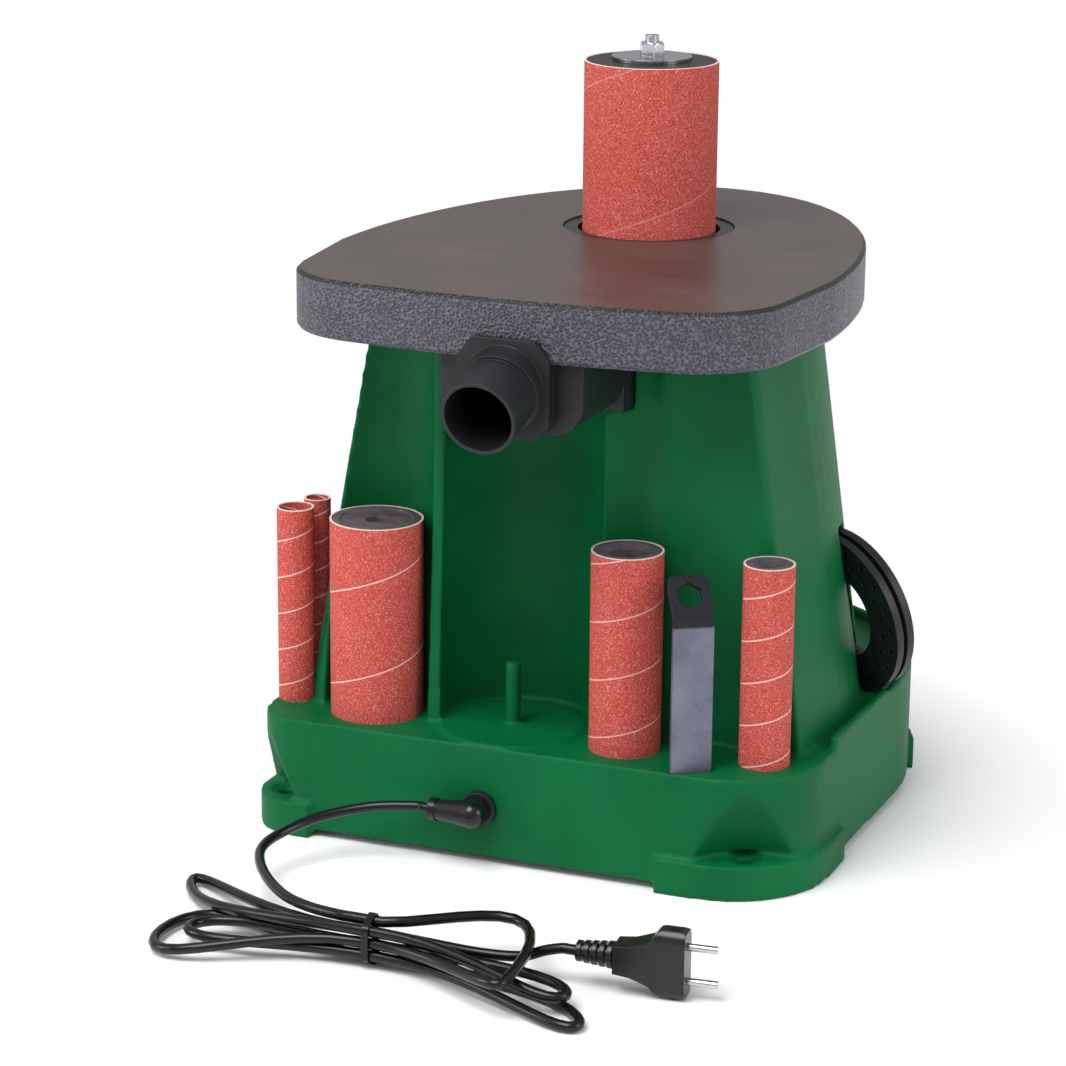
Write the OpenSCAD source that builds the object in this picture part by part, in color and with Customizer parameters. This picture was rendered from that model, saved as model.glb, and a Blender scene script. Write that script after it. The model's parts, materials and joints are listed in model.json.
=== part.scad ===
// Benchtop oscillating spindle sander, seen in the photograph from its back.
// Millimetres, +Z up. The bench is z = 0 and the origin is the middle of the four bench-bolt
// holes. The operator stands at -Y; the storage tray, the dust port and the cord are at +Y.
// Most modules are drawn about the spindle axis; on_bench() moves them to the origin.

/* [Table] */
// Height of the table top above the bench
table_h = 331; // [325:1:350]
// Width of the table
table_w = 297; // [285:1:310]
// Distance from the spindle axis to the operator's edge
table_front = 140; // [134:1:150]
// Distance from the spindle axis to the back edge
table_back = 230; // [225:1:240]
// Radius of the two back corners
table_corner = 53; // [40:1:60]
// Thickness of the table plate
table_plate = 10; // [8:0.5:12]
// Height of the skirt, top face to lower edge
table_skirt = 33; // [28:1:40]
// Wall of the skirt
skirt_wall = 7; // [5:0.5:9]
// Bevel round the top edge
table_bevel = 2; // [1:0.5:3]
// Radius of the round opening
opening_r = 50.6; // [49:0.1:52]

/* [Body housing] */
// Half the width of the base at its widest
base_half_w = 167; // [163:1:172]
// Distance from the spindle axis to the back of the base
base_back = 203; // [201:1:206]
// Distance from the spindle axis to the front of the base
base_front = 152; // [146:1:158]
// Height of the storage tray above the bench
tray_h = 69; // [66:1:74]
// Gap between the bench and the lower edge, between the lugs
base_gap = 4; // [3:0.5:6]
// Height of the rim round the sides of the tray
rim_h = 7; // [4:1:9]
// Width of the rim
rim_w = 5; // [4:0.5:7]
// Wall of the moulding
wall = 3.5; // [3:0.25:4.5]
// Half the width of the column at its foot
column_half_w = 154; // [150:1:156]
// Distance from the spindle axis to the back of the column foot
column_back = 176; // [173:1:179]
// Width of the column top as a share of its foot
column_taper_x = 0.745; // [0.72:0.005:0.78]
// Depth of the column top as a share of its foot
column_taper_y = 0.893; // [0.87:0.005:0.92]

/* [Bench lugs] */
// Spacing of the lug holes across the machine
lug_dx = 280; // [276:1:284]
// Spacing of the lug holes front to back
lug_dy = 256; // [250:1:262]
// Radius of a lug
lug_r = 14; // [13:1:18]
// Height of a lug
lug_h = 20; // [17:1:24]
// Radius of a lug hole
lug_hole_r = 4.5; // [4:0.25:5.5]

/* [Spindle and drums] */
// Radius of the spindle
spindle_r = 6.35; // [6:0.05:6.5]
// Length of every sanding sleeve
sleeve_l = 115; // [110:1:118]
// Wall of a sanding sleeve
sleeve_wall = 1.2; // [1:0.1:1.6]
// Height of the fitted sleeve's top above the table
sleeve_top = 97.6; // [95:0.2:100]
// Nominal diameter of the fitted drum
drum_fitted = 76; // [74:1:78]
// Bore radius of a rubber drum
drum_bore_r = 6.4; // [6.4:0.05:6.7]
// Half of the stroke up and down
half_stroke = 8; // [6:0.5:8]
// Radius of the washer on the drum
top_washer_r = 23.5; // [20:0.5:26]
// Width across the flats of the drum nut
nut_af = 13; // [12:0.5:14]

/* [Storage] */
// Radius of a storage post
post_r = 4.25; // [3.5:0.25:5]
// Height of a storage post above the tray
post_l = 38; // [30:1:45]
// Radius of the raised seat of the empty post
seat_r = 41; // [38:0.5:43]
// Radius of the recess behind the empty post
recess_r = 46.5; // [45:0.5:48]
// Outer radius of a table insert
insert_r = 50.1; // [49.5:0.1:50.3]
// Thickness of a table insert
insert_t = 5; // [4:0.25:5]
// Hole radius of the fitted insert
insert_hole_r = 42; // [41:0.25:43]
// Hole radius of the stored inserts
stored_hole_r = 27; // [25:0.5:29]

/* [Dust port] */
// Outer radius of the port pipe
pipe_r = 21; // [20:0.25:22]
// Bore radius of the port pipe
pipe_bore_r = 19; // [18:0.25:19.25]
// Length of the port pipe
pipe_l = 39; // [32:1:45]
// Angle that the pipe points down
pipe_tilt = 15; // [8:1:20]
// Wall of the dust duct
duct_wall = 2.5; // [2:0.25:3]

/* [Wrench] */
// Width of the wrench
wrench_w = 23; // [21:0.5:24]
// Thickness of the wrench
wrench_t = 3; // [2.5:0.25:4]
// Length of the straight blade
wrench_l = 88; // [80:1:95]

/* [Drive] */
// Radius of the motor case
motor_r = 46; // [42:1:47]
// Height of the motor case
motor_l = 118; // [105:1:120]
// Radius of the motor pulley
motor_pulley_r = 17; // [16:0.5:18]
// Radius of the spindle pulley
spindle_pulley_r = 24; // [22:0.5:25]
// Width of the belt
belt_w = 12; // [10:1:13]
// Thickness of the belt
belt_t = 2; // [1.5:0.25:2.5]
// Teeth of the worm wheel
wheel_teeth = 36; // [34:1:38]
// Lead of the one-start worm
worm_lead = 4; // [3.9:0.05:4.1]

/* [Power cord] */
// Diameter of the cord
cord_d = 5.8; // [5.4:0.1:6]
// Width of the tie round the cord hank
tie_w = 4; // [3:0.5:5]

/* [Hidden] */
$fn = 96;
facet = 32;
loose = 0.3;
running = 0.05;
touch = 0.3;

// Places about the spindle axis: table, lugs and tray
lug_mid = [10, 57];
table_under = table_h - table_plate;
skirt_z = table_h - table_skirt;
column_mid_y = 26.5;
column_h = table_under - tray_h;
floor_in = tray_h - wall;

// Sleeve standing places: [x, y, nominal diameter]
post_51 = [100.5, 167, 51];
post_38 = [-53, 171, 38];
recess_at = [13.5, 160];
post_26 = [-133, 165, 26];
post_19 = [153, 164, 19];
post_13 = [150, 141, 13];
post_76 = [18.5, 161, 76];
sleeve_over = 2 * sleeve_wall;

// Spindle stack, from the bench up
sleeve_z1 = table_h + sleeve_top;
sleeve_z0 = sleeve_z1 - sleeve_l;
washer_t = 2.5;
flange_t = 3;
nut_h = 8;
stud_r = 4;
collar_z = 22;
collar_h = 12;

// Gear and motor places
plate_z = 0.28 * table_h + 139;
plate_t = 10;
lower_z = 150;
motor_at = [64, 34];
pulley_z = plate_z - motor_l - 20;
pulley_h = belt_w + 4;
worm_z = 58;
worm_root_r = 9;
worm_tip_r = 11.4;
worm_turns = 5;
wheel_pitch_r = wheel_teeth * worm_lead / (2 * PI);
worm_pitch_r = (worm_root_r + worm_tip_r) / 2;
wheel_x = -(wheel_pitch_r + worm_pitch_r);
wheel_w = 8;
hub_r = 8;
bearing_r = 14;
hangers = [[-64, -42], [64, -42], [-72, 52], [70, 92]];
hanger_r = 8;

// Dust port place
port_x = -4;
port_z = table_h - 46;
port_y = table_back + 0.5;

// Outline of table, base and column: half an ellipse in front, straight sides that draw in
// a little, round back corners of two radii, and a back edge that bulges by sag.
function arc(c, r, a0, a1, n) = [for (i = [0 : n]) let (a = a0 + (a1 - a0) * i / n)
    [c[0] + r * cos(a), c[1] + r * sin(a)]];
function pick_outline(hw, front, wide_y, back, r_left, r_right, bow, sag, grow = 0) =
    let (a = hw + grow, b = wide_y + front + grow, e = back + grow - sag,
        rl = max(1, r_left + grow), rr = max(1, r_right + grow), s = hw - bow + grow)
    concat(
        [for (i = [0 : 36]) let (t = 180 + 180 * i / 36) [a * cos(t), wide_y + b * sin(t)]],
        arc([s - rl, e - rl], rl, 0, 90, 10),
        [for (i = [1 : 7]) let (u = 1 - i / 4)
            [u * (s - (u > 0 ? rl : rr)), e + sag * (1 - u * u)]],
        arc([rr - s, e - rr], rr, 90, 180, 10));

module table_outline(grow) {
    polygon(pick_outline(table_w / 2, table_front, 112, table_back, table_corner, table_corner,
        6.5, 7, grow));
}

module base_outline(grow) {
    polygon(pick_outline(base_half_w, base_front, 10, base_back, 25, 55, 4, 0, grow));
}

module column_shape(grow, z0, z1) {
    // the whole taper from tray to table, cut to the heights asked for
    intersection() {
        translate([0, column_mid_y, tray_h])
            linear_extrude(height = column_h, scale = [column_taper_x, column_taper_y],
                slices = 1)
                translate([0, -column_mid_y])
                    polygon(pick_outline(column_half_w, 115, 86, column_back, 24, 24, 5, 3, grow));
        translate([-200, -200, z0])
            cube([400, 420, z1 - z0]);
    }
}

module post_at(place) {
    translate([place[0], place[1], 0])
        children();
}

// Upright scallops of the column: middle and radius
scallops = [[99, 170, 33], [post_38[0], post_38[1], 24.2], [-139, 173, 26], [-90, 257, 110]];

module flutes(extra, z0, z1) {
    // one behind each stored drum, and a broad shallow one across two of them
    for (q = scallops)
        translate([q[0], q[1], z0])
            cylinder(r = q[2] + extra, h = z1 - z0);
    translate([recess_at[0], recess_at[1], z0])
        cylinder(r = recess_r + extra, h = z1 - z0);
    // side flute for the two thinnest sleeves
    post_at([post_19[0] + 2, (post_19[1] + post_13[1]) / 2])
        translate([-13 - extra, -30 - extra, z0])
            cube([60, 52 + 2 * extra, z1 - z0]);
}

// Lugs and the scoops above them
lug_places = [for (sx = [-1, 1], sy = [-1, 1]) [lug_mid[0] + sx * lug_dx / 2,
    lug_mid[1] + sy * lug_dy / 2]];

// a scoop's middle, from its bolt hole, and its radius; it fades out upwards
function scoop_of(p) = p[1] < 0 ? [sign(p[0]) * 30, 0, 36] :
    p[0] < 0 ? [-21, 43, 53] : [22, 22, 36];
scoop_fade = 18;
scoop_top = tray_h - 7;
module scoops(extra, z0, z1) {
    for (p = lug_places)
        let (q = scoop_of(p))
            translate([p[0] + q[0], p[1] + q[1], z0])
                cylinder(r1 = q[2] + extra, r2 = q[2] - scoop_fade + extra, h = z1 - z0);
}
module lug_blocks() {
    // the foot flares out a little round every lug
    linear_extrude(height = lug_h)
        intersection() {
            base_outline(4);
            union() {
                translate([-200, 118])
                    square([116, 100]);
                translate([126, 150])
                    square([80, 70]);
                for (x = [-200, 122])
                    translate([x, -110])
                        square([78, 66]);
            }
        }
}

// Stored inserts lean in a slot in the right side of the column
slot_at = [-132, 20, tray_h + 46];
slot_turn = -31.4;
slot_lean = 13;
stored_gap = 8;
module in_slot(i) {
    translate(slot_at)
        rotate([0, 0, slot_turn])
            rotate([90 - slot_lean, 0, 0])
                translate([0, 0, i * stored_gap])
                    children();
}
// they come out of it along this line, in the plane of the rings
slot_rise = 20;
slot_run = 110;
module slot_space(extra) {
    r = insert_r + touch + extra;
    h = stored_gap + insert_t + 4 + 2 * extra;
    in_slot(0)
        translate([0, 0, -insert_t / 2 - 2 - extra])
            rotate([0, 0, 180 - slot_rise]) {
                cylinder(r = r, h = h);
                translate([0, -r, 0])
                    cube([slot_run, 2 * r, h]);
            }
}

// Bosses that take the table bolts, and those for the bottom plate's screws
table_bolt_places = [[96, 96], [-90, 96], [84, -14], [-84, -14]];
plate_screw_places = [[157, 60], [-157, 60], [62, 190], [-62, 190], [88, -119], [-88, -119]];
boss_h = 34;
web_t = 7;

module column_hollow() {
    difference() {
        union() {
            column_shape(-wall, tray_h, table_under);
            // the way up from the base
            translate([0, 0, floor_in - 1])
                linear_extrude(height = wall + 2)
                    polygon(pick_outline(column_half_w, 115, 86, column_back, 24, 24, 5, 3,
                        -wall));
        }
        flutes(wall, floor_in - 2, table_h);
        slot_space(wall);
        // bosses for the table bolts, each on a web out to the side wall
        for (p = table_bolt_places)
            translate([p[0], p[1], table_under - boss_h]) {
                cylinder(r = 9, h = boss_h + 1);
                translate([p[0] > 0 ? 0 : -40, -web_t / 2, 0])
                    cube([40, web_t, boss_h + 1]);
            }
    }
}

module base_hollow() {
    difference() {
        translate([0, 0, -1])
            linear_extrude(height = floor_in + 1)
                base_outline(-wall);
        scoops(wall, lug_h - wall, scoop_top);
        for (p = lug_places)
            translate([p[0], p[1], -2])
                cylinder(r = lug_r, h = lug_h + 2);
        slot_space(wall);
        // pocket under the wrench
        at_wrench()
            translate([-wrench_w / 2 - 4, -wrench_t / 2 - 4, -wrench_sink - wall])
                cube([wrench_w + 8, wrench_t + 8, 30]);
        for (p = plate_screw_places)
            translate([p[0], p[1], base_gap + 2])
                cylinder(r = 6, h = tray_h);
    }
}

module body_housing() {
    color("forestgreen")
    difference() {
        union() {
            difference() {
                union() {
                    translate([0, 0, base_gap])
                        linear_extrude(height = tray_h - base_gap)
                            base_outline(0);
                    // rim along the sides and the front of the tray
                    translate([0, 0, tray_h - 1])
                        linear_extrude(height = rim_h + 1)
                            difference() {
                                base_outline(0);
                                base_outline(-rim_w);
                                translate([-200, 128])
                                    square([400, 100]);
                            }
                    difference() {
                        column_shape(0, tray_h - 0.5, table_under);
                        flutes(0, tray_h, table_h);
                    }
                    for (p = lug_places)
                        translate([p[0], p[1], 0])
                            cylinder(r = lug_r, h = lug_h);
                    lug_blocks();
                }
                scoops(0, lug_h, scoop_top);
                base_hollow();
                column_hollow();
            }
            for (place = [post_51, post_38, post_26, post_19, post_13, post_76])
                post_at(place)
                    translate([0, 0, tray_h - 0.5])
                        cylinder(r = place[2] > 13 ? post_r : post_r - 0.5, h = post_l + 0.5);
            post_at(post_76)
                translate([0, 0, tray_h - 0.5])
                    cylinder(r = seat_r, h = 2);
            switch_pad();
        }
        slot_space(0);
        for (p = lug_places)
            translate([p[0], p[1], -1]) {
                cylinder(r = lug_hole_r, h = lug_h + 2);
                translate([0, 0, lug_h - 1])
                    cylinder(r = lug_hole_r * 2, h = 4);
            }
        for (p = table_bolt_places)
            translate([p[0], p[1], table_under - boss_h - 1])
                cylinder(r = 4.3, h = boss_h + 2);
        for (p = plate_screw_places)
            translate([p[0], p[1], 0])
                cylinder(r = 1.9, h = 24);
        duct_cutter();
        switch_window();
        wrench_slot();
        gland_hole();
    }
}

module bottom_plate() {
    color("dimgray")
    translate([0, 0, base_gap])
        difference() {
            linear_extrude(height = 2)
                difference() {
                    base_outline(-wall - loose);
                    for (p = lug_places)
                        translate(p)
                            circle(r = lug_r + loose);
                    for (p = plate_screw_places)
                        translate(p)
                            circle(r = 2.2);
                    // cooling slots under the motor
                    for (i = [-4 : 4])
                        translate([motor_at[0] + i * 9, motor_at[1]])
                            square([4, 60], center = true);
                }
        }
}

module plate_screws() {
    color("silver")
    for (p = plate_screw_places)
        translate([p[0], p[1], base_gap - 2.5]) {
            cylinder(r = 4, h = 2.5);
            cylinder(r = 1.85, h = 14);
        }
}

module table() {
    color("gray")
    difference() {
        union() {
            hull() {
                translate([0, 0, skirt_z + 2])
                    linear_extrude(height = table_skirt - table_bevel - 2)
                        table_outline(0);
                translate([0, 0, table_h - 1])
                    linear_extrude(height = 1)
                        table_outline(-table_bevel);
                translate([0, 0, skirt_z])
                    linear_extrude(height = 1)
                        table_outline(-1.5);
            }
        }
        // hollow under the plate
        difference() {
            translate([0, 0, skirt_z - 1])
                linear_extrude(height = table_skirt - table_plate + 1)
                    table_outline(-skirt_wall);
            // ribs and the pads that the column and the hangers meet
            for (x = [-1, 1])
                translate([x * 128 - 2.5, -60, table_under - 12])
                    cube([5, 240, 13]);
            translate([-130, 206, table_under - 12])
                cube([260, 5, 13]);
        }
        // stepped opening for the insert
        translate([0, 0, table_h - insert_t - 1])
            cylinder(r = opening_r, h = table_plate);
        translate([0, 0, skirt_z - 1])
            cylinder(r = opening_r - 4, h = table_skirt);
        for (p = table_bolt_places)
            translate([p[0], p[1], table_under - 1])
                cylinder(r = 4.1, h = 8);
    }
}

module table_bolts() {
    color("silver")
    for (p = table_bolt_places)
        translate([p[0], p[1], table_under - boss_h]) {
            cylinder(r = 4, h = boss_h + 6);
            translate([0, 0, -5.5])
                cylinder(r = 7.5, h = 5.5, $fn = 6);
        }
}

module vent_holes(n, r, hole) {
    for (i = [0 : n - 1])
        rotate([0, 0, i * 360 / n])
            translate([r, 0, -1])
                cylinder(r = hole, h = insert_t + 2, $fn = 16);
}

module insert_ring(hole_r) {
    difference() {
        cylinder(r = insert_r, h = insert_t);
        translate([0, 0, -1])
            cylinder(r = hole_r, h = insert_t + 2);
        if (insert_r - hole_r > 15) {
            vent_holes(20, insert_r - 6, 1.6);
            rotate([0, 0, 9])
                vent_holes(20, insert_r - 13, 1.6);
        }
    }
}

module table_insert() {
    color("black")
    translate([0, 0, table_h - insert_t - 1])
        insert_ring(insert_hole_r);
}

module stored_insert_a() {
    color("black")
    in_slot(0)
        translate([0, 0, -insert_t / 2])
            insert_ring(stored_hole_r);
}

module stored_insert_b() {
    color("black")
    in_slot(1)
        translate([0, 0, -insert_t / 2])
            insert_ring(stored_hole_r + 1);
}

// Spindle stack
module spindle() {
    color("silver")
    union() {
        translate([0, 0, collar_z + collar_h + touch + 2])
            cylinder(r = spindle_r, h = sleeve_z1 - collar_z - collar_h - touch - 2 - 1);
        translate([0, 0, collar_z])
            cylinder(r = spindle_r - 1.35, h = collar_h + touch + 3);
        translate([0, 0, collar_z + collar_h + touch])
            cylinder(r = 9, h = 2.5);
        translate([0, 0, collar_z - touch - 5])
            cylinder(r = 8, h = 5, $fn = 6);
        translate([0, 0, collar_z - touch - 3])
            cylinder(r = spindle_r - 1.35, h = 6);
        translate([0, 0, sleeve_z0 - flange_t - 10])
            cylinder(r = 10, h = 10);
        translate([0, 0, sleeve_z1 - 4])
            cylinder(r = stud_r, h = washer_t + nut_h + 8);
    }
}

module drum_flange() {
    color("silver")
    translate([0, 0, sleeve_z0 - flange_t])
        difference() {
            cylinder(r = drum_fitted / 2 - 6, h = flange_t);
            translate([0, 0, -1])
                cylinder(r = drum_bore_r, h = flange_t + 2);
        }
}

module drum(nominal, dish) {
    // rubber drum with a bore, a dished top and a chamfered foot
    difference() {
        rotate_extrude()
            polygon([[drum_bore_r, 1], [drum_bore_r + 1, 0], [nominal / 2 - 1, 0], [nominal / 2, 1],
                [nominal / 2, sleeve_l - 1], [nominal / 2 - 1, sleeve_l],
                [nominal / 2 - 4, sleeve_l], [nominal / 2 - 5.5, sleeve_l - dish],
                [drum_bore_r, sleeve_l - dish]]);
    }
}

module sleeve(nominal) {
    // cloth-backed tube that slips over its drum
    rotate_extrude()
        translate([nominal / 2 + running, 0])
            square([sleeve_wall, sleeve_l]);
}

module drum_76() {
    color("dimgray")
    translate([0, 0, sleeve_z0])
        drum(drum_fitted, 0);
}

module sleeve_76() {
    color("indianred")
    translate([0, 0, sleeve_z0])
        sleeve(drum_fitted);
}

module top_washer() {
    color("silver")
    translate([0, 0, sleeve_z1])
        difference() {
            cylinder(r = top_washer_r, h = washer_t);
            translate([0, 0, -1])
                cylinder(r = stud_r + 0.2, h = washer_t + 2);
        }
}

module drum_nut() {
    color("silver")
    translate([0, 0, sleeve_z1 + washer_t])
        difference() {
            intersection() {
                cylinder(d = nut_af / cos(30), h = nut_h, $fn = 6);
                cylinder(r1 = nut_af / 2 + 4, r2 = nut_af / 2 - 0.2, h = nut_h);
            }
            translate([0, 0, -1])
                cylinder(r = stud_r + running, h = nut_h + 2);
        }
}

// Dust way: a round chamber under the opening and a tunnel back to the port
duct_z = port_z - 27;
tunnel_x = [-45, 37];
tunnel_y = 222;
tunnel_r = 18;
module chamber(grow, z0, z1) {
    translate([0, 0, z0])
        linear_extrude(height = z1 - z0)
            hull() {
                circle(r = 58 + grow);
                translate([tunnel_x[0] - grow, 150])
                    square([tunnel_x[1] - tunnel_x[0] + 2 * grow, 10 + grow]);
            }
}

module tunnel(grow, y0, y1, x0, x1, r) {
    // rounded below, flat above, just under the skirt of the table
    translate([0, y1, 0])
        rotate([90, 0, 0])
            linear_extrude(height = y1 - y0)
                hull() {
                    for (x = [x0 + r, x1 - r])
                        translate([x, duct_z + r])
                            circle(r = r + grow);
                    translate([x0 - grow, skirt_z - touch - 4])
                        square([x1 - x0 + 2 * grow, 4 + grow]);
                }
}

module duct_cutter() {
    intersection() {
        union() {
            chamber(loose, duct_z - loose, table_h);
            tunnel(loose, 120, 240, tunnel_x[0], tunnel_x[1], tunnel_r);
            // nothing of the column stays behind the skirt there
            translate([tunnel_x[0] - loose, 120, skirt_z - 1])
                cube([tunnel_x[1] - tunnel_x[0] + 2 * loose, 60, table_skirt + 1]);
        }
        translate([-100, 60, 0])
            cube([200, 200, 400]);
    }
}

module dust_duct() {
    color("black")
    difference() {
        union() {
            chamber(0, duct_z, table_under);
            tunnel(0, 120, tunnel_y, tunnel_x[0], tunnel_x[1], tunnel_r);
            tunnel(0, tunnel_y - 1, port_y, port_x - 24, port_x + 24, 12);
        }
        chamber(-duct_wall, duct_z + duct_wall, table_h);
        tunnel(-duct_wall, 110, tunnel_y - duct_wall, tunnel_x[0], tunnel_x[1], tunnel_r);
        tunnel(-duct_wall, tunnel_y - 10, port_y + 1, port_x - 24, port_x + 24, 12);
        // slack round the spindle below
        cylinder(r = 15, h = table_h);
    }
}

module port_pipe(r, h, back) {
    translate([port_x, port_y, port_z])
        rotate([-90 - pipe_tilt, 0, 0])
            translate([0, 0, -back])
                cylinder(r = r, h = h + back);
}

module dust_port() {
    color("black")
    difference() {
        union() {
            // flange with cut corners
            translate([port_x, port_y, port_z])
                rotate([-90, 0, 0])
                    linear_extrude(height = 4)
                        polygon([[-18, -26], [18, -26], [26, -16], [26, 20], [18, 28],
                            [-18, 28], [-26, 20], [-26, -16]]);
            intersection() {
                union() {
                    port_pipe(pipe_r, pipe_l, 12);
                    port_pipe(pipe_r + 1.8, 11, 12);
                }
                translate([-100, port_y + 1, 200])
                    cube([200, 100, 140]);
            }
        }
        port_pipe(pipe_bore_r, pipe_l + 1, 30);
    }
}

// Stored drums and sleeves
module stored_drum(place) {
    color("dimgray")
    post_at(place)
        translate([0, 0, tray_h])
            drum(place[2], place[2] < 50 ? 4 : 1);
}

module stored_sleeve(place) {
    color("indianred")
    post_at(place)
        translate([0, 0, tray_h])
            sleeve(place[2]);
}

module drum_51() { stored_drum(post_51); }
module sleeve_51() { stored_sleeve(post_51); }
module drum_38() { stored_drum(post_38); }
module sleeve_38() { stored_sleeve(post_38); }
module drum_26() { stored_drum(post_26); }
module sleeve_26() { stored_sleeve(post_26); }
module sleeve_19() { stored_sleeve(post_19); }
module sleeve_13() { stored_sleeve(post_13); }

// Wrench in its slot
wrench_at = [-100, base_back - 9];
wrench_turn = 35;
wrench_sink = 6;
wrench_bend = 42;
module at_wrench() {
    translate([wrench_at[0], wrench_at[1], tray_h])
        rotate([0, 0, wrench_turn])
            children();
}
module wrench_slot() {
    at_wrench()
        translate([-wrench_w / 2 - 0.5, -wrench_t / 2 - 0.5, -wrench_sink])
            cube([wrench_w + 1, wrench_t + 1, wrench_sink + 2]);
}
module wrench() {
    color("lightslategray")
    at_wrench() {
        translate([-wrench_w / 2, -wrench_t / 2, -wrench_sink + touch])
            cube([wrench_w, wrench_t, wrench_l + wrench_sink - touch]);
        // bent head with the hexagonal hole
        translate([0, 0, wrench_l])
            rotate([wrench_bend, 0, 0])
                    rotate([90, 0, 0])
                        linear_extrude(height = wrench_t, center = true)
                            difference() {
                                hull() {
                                    translate([-wrench_w / 2, -1.2])
                                        square([wrench_w, 1]);
                                    translate([-wrench_w / 2 + 2, 22])
                                        square([wrench_w - 4, 3]);
                                    translate([-wrench_w / 2, 17])
                                        square([wrench_w, 1]);
                                }
                                translate([0, 13])
                                    rotate(30)
                                        circle(d = (nut_af + 0.4) / cos(30), $fn = 6);
                            }
    }
}

// Carrier plate that hangs from the table and holds the bearings and the motor
module carrier() {
    color("lightgray")
    difference() {
        union() {
            translate([0, 0, plate_z])
                linear_extrude(height = plate_t)
                    hull() {
                        for (p = hangers)
                            translate(p)
                                circle(r = hanger_r + 4);
                        translate(motor_at)
                            circle(r = motor_r);
                    }
            for (p = hangers)
                translate([p[0], p[1], plate_z + plate_t - 1])
                    cylinder(r = hanger_r, h = table_under - plate_z - plate_t + 1);
            translate([0, 0, lower_z - 2])
                cylinder(r = bearing_r + 5, h = plate_z - lower_z + 3);
        }
        translate([0, 0, lower_z - 3])
            cylinder(r = bearing_r, h = plate_z + plate_t - lower_z + 4);
        translate([motor_at[0], motor_at[1], plate_z - 1])
            cylinder(r = 14, h = plate_t + 2);
    }
}

module bearing_ring(z) {
    translate([0, 0, z])
        difference() {
            cylinder(r = bearing_r - running, h = 12);
            translate([0, 0, -1])
                cylinder(r = hub_r + running, h = 14);
            for (s = [-1, 11])
                translate([0, 0, s])
                    difference() {
                        cylinder(r = bearing_r - 1.8, h = 2);
                        cylinder(r = hub_r + 1.8, h = 2);
                    }
        }
}

module upper_bearing() {
    color("silver")
    bearing_ring(plate_z - 4);
}

module lower_bearing() {
    color("silver")
    bearing_ring(lower_z);
}

// Worm thread: a trapezoid swept along the helix
function thread_ring(t) = let (a = 360 * t, z = worm_z + worm_lead * (t - worm_turns / 2),
    grow = min(1, t * 3, (worm_turns - t) * 3), r = worm_root_r - 0.4, q = r + 0.4 +
    (worm_tip_r - worm_root_r) * grow) [[r * cos(a), r * sin(a), z + 1.05],
    [q * cos(a), q * sin(a), z + 0.45], [q * cos(a), q * sin(a), z - 0.45],
    [r * cos(a), r * sin(a), z - 1.05]];

// Skin of a tube whose rings have the same count of points, with flat ends
function tube_points(rings) = [for (g = rings) for (p = g) p];
function tube_faces(count, sides) = concat(
    [[for (k = [0 : sides - 1]) k]],
    [for (i = [0 : count - 2]) for (k = [0 : sides - 1]) let (a = i * sides + k,
        b = i * sides + (k + 1) % sides) each [[a, a + sides, b], [b, a + sides, b + sides]]],
    [[for (k = [sides - 1 : -1 : 0]) (count - 1) * sides + k]]);

module worm_thread() {
    steps = 20;
    rings = [for (i = [0 : steps * worm_turns]) thread_ring(i / steps)];
    polyhedron(tube_points(rings), tube_faces(len(rings), 4));
}

module drive_hub() {
    color("goldenrod")
    difference() {
        union() {
            translate([0, 0, worm_z - 13])
                cylinder(r = hub_r, h = plate_z + 12 - worm_z + 13);
            translate([0, 0, worm_z - 13])
                cylinder(r = worm_root_r, h = 26);
            worm_thread();
            // toothed belt pulley with two flanges
            pulley(spindle_pulley_r, 0, 0);
        }
        translate([0, 0, worm_z - 14])
            cylinder(r = spindle_r + running, h = plate_z + 13 - worm_z + 14);
    }
}

module pulley(r, x, y) {
    translate([x, y, pulley_z]) {
        cylinder(r = r, h = pulley_h);
        for (z = [0, pulley_h - 1.5])
            translate([0, 0, z])
                cylinder(r = r + belt_t + 1.5, h = 1.5);
    }
}

module motor_case() {
    color("darkgray")
    translate([motor_at[0], motor_at[1], plate_z - motor_l])
        difference() {
            union() {
                cylinder(r = motor_r - 3, h = motor_l);
                for (z = [0, motor_l - 14])
                    translate([0, 0, z])
                        cylinder(r = motor_r, h = 14);
                for (i = [0 : 23])
                    rotate([0, 0, i * 15])
                        translate([motor_r - 5, -1, 10])
                            cube([4, 2, motor_l - 20]);
            }
            // rotor space and the shaft's bearings
            translate([0, 0, 10])
                cylinder(r = motor_r - 18, h = motor_l - 20);
            translate([0, 0, -1])
                cylinder(r = 6 + running, h = motor_l + 2);
        }
}

module motor_shaft() {
    color("silver")
    translate([motor_at[0], motor_at[1], 0])
        union() {
            translate([0, 0, pulley_z - 3])
                cylinder(r = 6, h = plate_z + 4 - pulley_z + 3);
            translate([0, 0, plate_z - motor_l + 24])
                cylinder(r = motor_r - 19, h = motor_l - 48);
            for (i = [0 : 7])
                rotate([0, 0, i * 45])
                    translate([5, -0.8, plate_z - motor_l + 13])
                        cube([motor_r - 26, 1.6, 9]);
        }
}

module motor_pulley() {
    color("darkgray")
    difference() {
        pulley(motor_pulley_r, motor_at[0], motor_at[1]);
        translate([motor_at[0], motor_at[1], pulley_z - 1])
            cylinder(r = 6, h = pulley_h + 2);
    }
}

module belt_loop(grow, h) {
    linear_extrude(height = h)
        hull() {
            circle(r = spindle_pulley_r + grow);
            translate(motor_at)
                circle(r = motor_pulley_r + grow);
        }
}

module belt() {
    color("black")
    translate([0, 0, pulley_z + 2])
        difference() {
            belt_loop(running + belt_t, belt_w);
            translate([0, 0, -1])
                belt_loop(running, belt_w + 2);
        }
}

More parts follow.
